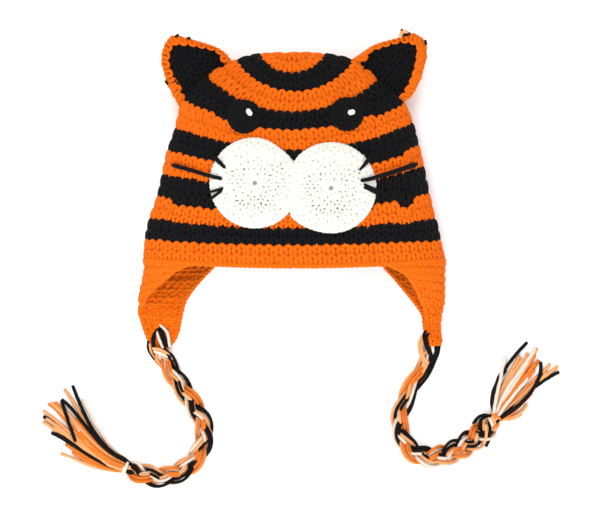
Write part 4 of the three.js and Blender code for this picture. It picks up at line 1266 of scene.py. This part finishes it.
class HAT_OT_crochet_ears(bpy.types.Operator):
    """Crochets the ears: a black panel on an orange back, with an orange edging round both"""

    bl_idname = "hat.crochet_ears"
    bl_label = "Crochet the ears"

    def execute(self, context):
        for side in ("left", "right"):
            self.ear(context, side)
        return {"FINISHED"}

    def seam(self, side, skipped=0.0):
        """The line of the side fold between the two ends of the ear's outline, without the share
        of its upper end that is skipped"""
        upper, *_, lower = EARS[side]["outline"]
        rings = [crown_at(place) for place in np.linspace(3, 12, 181)]
        fold = np.array([[ring[f"{side}_x"], ring[f"{side}_y"]] for ring in rings])
        first, last = (int(np.argmin(np.linalg.norm(fold - end, axis=1))) for end in (upper, lower))
        first += round((last - first) * skipped)
        line = evenly(fold[first:last + 1], EAR_POINTS)
        return line + EAR_SEAM_IN * unit(np.array([0.0, 20.0]) - line)

    def placing(self, side):
        """The turn that lays a flat ear on its seam and tilts it down towards its tip"""
        ear = EARS[side]
        start = np.append(ear["outline"][0], 0.0)
        hinge = unit(np.append(ear["outline"][-1], 0.0) - start)
        away = np.append(ear["tip"], 0.0) - start
        reach = np.linalg.norm(away - hinge * away.dot(hinge))
        turn = -math.copysign(math.asin(EAR_DROP / reach), np.cross(hinge, away)[2])
        matrix = np.array(Matrix.Rotation(turn, 3, Vector(hinge)))
        lifted = start + [0, 0, EAR_SEAM_Z]
        return lambda points: (np.asarray(points) - start) @ matrix.T + lifted

    def ear(self, context, side):
        pitch = context.scene.hat_crochet.ear_stitch / MM
        yarn = context.scene.hat_yarns
        material = materials_of(context)
        rng = np.random.default_rng(SEED + 5)
        place = self.placing(side)
        seam, panel_seam = self.seam(side), self.seam(side, PANEL_SKIPPED)
        panel = drawn_in(catmull_rom(EARS[side]["panel"], EAR_POINTS), PANEL_IN)
        outline = drawn_in(catmull_rom(EARS[side]["outline"], EAR_POINTS), OUTLINE_IN)
        half = EAR_THICKNESS / 2
        turned_over = 1 if side == "left" else -1

        def at(line, height):
            return place(np.column_stack([line, np.full(len(line), height)]))

        def layer(shares, start, edge, heights):
            return [at(start + (edge - start) * s, h) for s, h in zip(shares, heights)]

        def work(yarns, fabric, rows):
            for row in range(1, rows + 1):
                count = max(4, round(fabric.width(row - 0.3) / pitch))
                work_row(yarns, OUTSIDE, fabric, row, count, yarn.hat_yarn, yarn.unevenness, rng)

        front = layer(np.linspace(0, 1, EAR_ROWS + 1), panel_seam, panel, [half] * (EAR_ROWS + 1))
        edge = layer((0.5, 1.0), panel, outline, (half - 0.25, half - 1.0))
        black = Fabric(front, False, 1, turned_over)
        orange = Fabric([front[-2] * 0.5 + front[-1] * 0.5, front[-1], *edge], False, 2, turned_over)
        back = Fabric(layer(np.linspace(0, 1, EAR_ROWS + 2), seam, outline,
                            [-half] * (EAR_ROWS + 1) + [0.8 - half]), False, 1, -turned_over)
        panel_yarns = []
        work(panel_yarns, black, EAR_ROWS)
        inner = yarn_piece(f"ear_panel_{side}", panel_yarns, [material["B"]])
        ride(inner, "black_yarn", f"ear_inner_{side}")

        ear_yarns = []
        work_row(ear_yarns, OUTSIDE, orange, 1.5, round(orange.width(1.0) / pitch), yarn.hat_yarn,
                 yarn.unevenness, rng, raised=EAR_EDGING_RAISED)
        work(ear_yarns, back, EAR_ROWS + 1)
        middle = at(outline, 0.0)
        out = unit(middle - at(panel, 0.0))
        ear_yarns += rope(middle - out * EAR_CHAIN_IN, out, at(outline, 1.0) - middle, pitch,
                          CHAIN_RADIUS["ear"], yarn.hat_yarn * CHAIN_WIDTH)
        for colour, share, route in EAR_ENDS[side]:
            ear_yarns.append(Yarn(at(catmull_rom(route, 8), half), yarn.hat_yarn * share, False,
                                  EAR_YARNS.index(colour), 0.7))
        stitches = yarn_piece(f"ear_{side}_stitches", ear_yarns, [material[c] for c in EAR_YARNS])
        ride(stitches, "orange_yarn")

        # The dense middle: black under the panel, orange under the edging and the back, which
        #  rises towards the edge. Its yarns are painted darker than the stitches, as shade in the holes
        steps = EAR_BACKING_STEPS
        shares = np.linspace(0, 1, steps)
        near_edge = half - EAR_EDGE_DEPTH
        under_panel = [half - EAR_PANEL_DEPTH] * steps
        top = [at(seam, near_edge), *layer(shares, panel_seam, panel, under_panel),
               at(outline, near_edge)]
        bottom = layer(shares[::-1], seam, outline, -half + EAR_BACK_DEPTH + shares[::-1] ** 6)
        numbers = [0] + [1] * (steps - 1) + [0] * (steps + 2)
        solid = grid_piece(f"ear_{side}_backing", top + bottom, [material["o"], material["b"]],
                           False, numbers, cap_ends=True)
        ride(solid, "orange_yarn", f"ear_{side}")


EDGE_CHAIN = 1.9  # mm that the chain round a disc's edge adds to its radius
TIGHTER_ABOVE = 0.09  # share by which the yarn looks wider above a disc's middle than beside it
MUZZLE_RADII = (2.9, 9.0, 15.0, 20.8, 26.8, MUZZLE_RADIUS - EDGE_CHAIN)
MUZZLE_STITCHES = (8, 14, 20, 26, 32)
MUZZLE_WIDTHS = (0.98, 0.97, 0.99, 1.13, 1.2)  # shares of the hat yarn's width, round by round
SEAM_OVERLAP = 1.1  # mm by which the discs reach over the seam between them
BULGE_NARROWNESS = 10  # a higher power bulges a shorter stretch of the edge
DISC_DOWN, DISC_FLATNESS = 0.4, 8  # share of its height that a disc loses at its edge, and the power
DISC_CHAIN_PITCH = 6.6
DISC_CHAIN_WIDTH = 0.8  # share of the last round's width
DISC_BACKING_DEPTH = 1.9  # mm from the right side to the dense layer
HOLE_CLOSED = 0.08  # what is left of the hole in the middle, deep down, as a share of its width
EYE_RADII = (0.8, 6.6, EYE_RADIUS - EDGE_CHAIN + 0.4)
EYE_STITCHES = (6, 12)
MUZZLE_DEPTH, EYE_DEPTH = 3.2, 3.4  # mm from the right side to the back of a disc


def disc_fabric(centre, radii, reach, surface, height):
    """Rounds of a disc that follows the crown below it and comes down at its edge"""
    angle = np.linspace(0, 2 * np.pi, 120, endpoint=False)
    limit = np.array([reach(a) for a in angle])
    rows = []
    for radius in radii:
        share = radius / radii[-1]
        r = radius * (limit / np.median(limit)) ** (share ** 2)
        x = centre[0] + r * np.cos(-angle)
        y = centre[1] + r * np.sin(-angle)
        lift = height * (1 - DISC_DOWN * share ** DISC_FLATNESS)
        z = [surface.height(a, b) + lift for a, b in zip(x, y)]
        rows.append(np.stack([x, y, z], axis=1))
    return Fabric(rows, wraps=True, per_row=1, turned=-1)


def disc_piece(name, fabric, counts, widths, uneven, rng, material, backing, depth):
    """A disc crocheted in rounds from its middle, over a dense layer that closes it below, in yarn
    painted darker as shade in the holes. The upper half is worked a little more tightly, so most
    holes show in the lower half."""
    yarns = []
    middle = fabric.points[0].mean(axis=0)
    for row, (count, width) in enumerate(zip(counts, widths), start=1):
        work_row(yarns, DISC_SIDE, fabric, row, count, width, uneven, rng, phase=0.5 * (row % 2))
    for i, yarn in enumerate(yarns):
        away = yarn.line - middle
        upward = away[:, 1] / np.maximum(np.hypot(away[:, 0], away[:, 1]), 1e-6)
        yarns[i] = yarn._replace(width=yarn.width * (1 + TIGHTER_ABOVE * upward))
    rows = len(counts)
    yarns += chain_below(fabric, rows - 0.03, rows - 0.4, depth / 2 + 0.2, DISC_CHAIN_PITCH,
                         CHAIN_RADIUS["disc"], widths[-1] * DISC_CHAIN_WIDTH)
    stitches = yarn_piece(name + "_yarns", yarns, [material])
    rings = fabric.points
    closing = middle + (rings[:1] - middle) * HOLE_CLOSED
    under = Fabric(np.concatenate([closing, rings]), wraps=True, turned=-1)
    down = np.concatenate([[0.0, 0.5], np.linspace(1.0, rows + 0.8, rows * 3)])[:, None]
    columns = np.linspace(0, 1, 96, endpoint=False)[None, :]
    outer = under.at(down, columns, -DISC_BACKING_DEPTH)
    inner = under.at(down[::-1], columns, -depth)
    outer[0] = outer[0].mean(axis=0)
    inner[-1] = inner[-1].mean(axis=0)
    dense = grid_piece(name + "_dense", np.concatenate([outer, inner]), [backing], True)
    return joined(name, [stitches, dense])


class HAT_OT_sew_muzzle(bpy.types.Operator):
    """Crochets the two white discs of the muzzle and sews them edge to edge"""

    bl_idname = "hat.sew_muzzle"
    bl_label = "Sew on the muzzle"

    def execute(self, context):
        yarn = context.scene.hat_yarns
        material = materials_of(context)
        surface = SolidSurface("crown")
        widths = [yarn.hat_yarn * w for w in MUZZLE_WIDTHS]
        for side, other in (("left", "right"), ("right", "left")):
            x, y, bulge, bulge_at = MUZZLES[side]
            away = MUZZLES[other][0] - x, MUZZLES[other][1] - y
            towards = math.atan2(away[1], away[0])
            seam = math.hypot(*away) / 2 + SEAM_OVERLAP

            def reach(angle):
                facing = math.cos(-angle - towards)
                bulging = max(0.0, math.cos(-angle - math.radians(bulge_at)))
                radius = MUZZLE_RADIUS + bulge * bulging ** BULGE_NARROWNESS
                return min(radius, seam / facing) if facing > 0 else radius

            fabric = disc_fabric((x, y), MUZZLE_RADII, reach, surface, MUZZLE_HEIGHT)
            # These stitches are twice as uneven as the hat's
            disc = disc_piece(f"muzzle_disc_{side}", fabric, MUZZLE_STITCHES, widths,
                              yarn.unevenness * 2.0, np.random.default_rng(SEED + 7), material["W"],
                              material["w"], MUZZLE_DEPTH)
            ride(disc, "white_yarn", f"muzzle_{side}")
        return {"FINISHED"}


# The satin stitches of a highlight: places across it and lengths, as shares of its half width and
# half length
SATIN = ((-0.42, 0.75), (0.0, 1.1), (0.42, 0.85))
SATIN_WIDTH = 0.52  # share of the hat yarn's width
SATIN_SHORTER = 0.4  # mm of the half length that the yarn's round ends take up
SATIN_LIFT, SATIN_SUNK = 1.25, 0.4  # mm that its middle rises and that its ends go into the eye


class HAT_OT_sew_eyes(bpy.types.Operator):
    """Crochets the black eyes and sews the white highlights on them"""

    bl_idname = "hat.sew_eyes"
    bl_label = "Sew on the eyes"

    def execute(self, context):
        yarn = context.scene.hat_yarns
        material = materials_of(context)
        surface = SolidSurface("crown")
        for side, centre in EYES.items():
            fabric = disc_fabric(centre, EYE_RADII, lambda angle: EYE_RADIUS, surface, EYE_HEIGHT)
            disc = disc_piece(f"eye_disc_{side}", fabric, EYE_STITCHES, [yarn.hat_yarn] * 2,
                              yarn.unevenness, np.random.default_rng(SEED + 9), material["B"],
                              material["b"], EYE_DEPTH)
            ride(disc, "black_yarn", f"eye_{side}")
            self.light(side, yarn.hat_yarn, material)
        return {"FINISHED"}

    def light(self, side, width, material):
        """Three satin stitches side by side"""
        *centre, half_long, half_short, tilt = EYE_LIGHTS[side]
        surface = SolidSurface(f"eye_{side}")
        along = turned((1, 0), tilt)[:2]
        across = turned((0, 1), tilt)[:2]
        yarns = []
        for offset, reach in SATIN:
            line = []
            for t in np.linspace(-1, 1, 9):
                far = along * t * (half_long - SATIN_SHORTER) * reach
                place = centre + far + across * offset * half_short
                lift = SATIN_LIFT * math.sqrt(max(0.0, 1 - t * t)) - SATIN_SUNK
                line.append((*place, surface.height(*place) + lift))
            yarns.append(Yarn(line, width * SATIN_WIDTH, tips=0.6))
        light = yarn_piece(f"eye_highlight_{side}", yarns, [material["W"]])
        ride(light, "white_yarn", f"eye_light_{side}")


WHISKER_WIDTH = 1.15  # the full width of the whiskers' table, as a share of the hat yarn's
WHISKER_LIFT = 1.1  # mm from a whisker's middle to the stitches under it
WHISKER_DIP = 2.2  # mm that it goes into the fabric at its ends
# Places beside a whisker where stitches can hold it up
BESIDE = ((0, 0), (1.2, 0), (-1.2, 0), (0, 1.2), (0, -1.2))


class HAT_OT_sew_whiskers(bpy.types.Operator):
    """Sews the whiskers, each a long stitch of black yarn"""

    bl_idname = "hat.sew_whiskers"
    bl_label = "Sew the whiskers"

    def execute(self, context):
        full = context.scene.hat_yarns.hat_yarn * WHISKER_WIDTH
        black = materials_of(context)["B"]
        surface = SolidSurface("crown", "muzzle_left", "muzzle_right")
        for name, strands in WHISKERS.items():
            yarns = []
            for outer, inner, route in strands:
                flat = catmull_rom(route, 24)
                share = np.linspace(0, 1, len(flat))
                dip = WHISKER_DIP * np.clip(1 - np.minimum(share, 1 - share) * 9, 0, 1) ** 2
                held = np.array([max(surface.height(x + a, y + b) for a, b in BESIDE) for x, y in flat])
                line = np.column_stack([flat, held + WHISKER_LIFT - dip])
                yarns.append(Yarn(line, full * (outer + (inner - outer) * share), tips=0.5))
            whisker = yarn_piece(name + "_yarn", yarns, [black])
            ride(whisker, "black_yarn", name)
        return {"FINISHED"}


OPERATORS = (HAT_OT_lay_stage, HAT_OT_plait_ties, HAT_OT_crochet_crown, HAT_OT_crochet_flaps,
             HAT_OT_crochet_ears, HAT_OT_sew_muzzle, HAT_OT_sew_eyes, HAT_OT_sew_whiskers)
SETTINGS = {"hat_stage": StageSettings, "hat_yarns": YarnSettings, "hat_crochet": CrochetSettings}


class HAT_PT_sidebar(bpy.types.Panel):
    """The hat's settings and steps"""

    bl_idname = "HAT_PT_sidebar"
    bl_label = "Tiger Hat"
    bl_space_type = "VIEW_3D"
    bl_region_type = "UI"
    bl_category = "Tiger Hat"

    def draw(self, context):
        for group in SETTINGS:
            box = self.layout.box()
            for name in SETTINGS[group].__annotations__:
                box.prop(getattr(context.scene, group), name)
        for operator in OPERATORS:
            self.layout.operator(operator.bl_idname)


def register():
    for settings in SETTINGS.values():
        bpy.utils.register_class(settings)
    for name, settings in SETTINGS.items():
        setattr(bpy.types.Scene, name, bpy.props.PointerProperty(type=settings))
    for operator in OPERATORS:
        bpy.utils.register_class(operator)
    bpy.utils.register_class(HAT_PT_sidebar)


def unregister():
    bpy.utils.unregister_class(HAT_PT_sidebar)
    for operator in reversed(OPERATORS):
        bpy.utils.unregister_class(operator)
    for name, settings in SETTINGS.items():
        delattr(bpy.types.Scene, name)
        bpy.utils.unregister_class(settings)


def main():
    register()
    for operator in OPERATORS:
        group, name = operator.bl_idname.split(".")
        getattr(getattr(bpy.ops, group), name)()


if __name__ == "__main__":
    main()
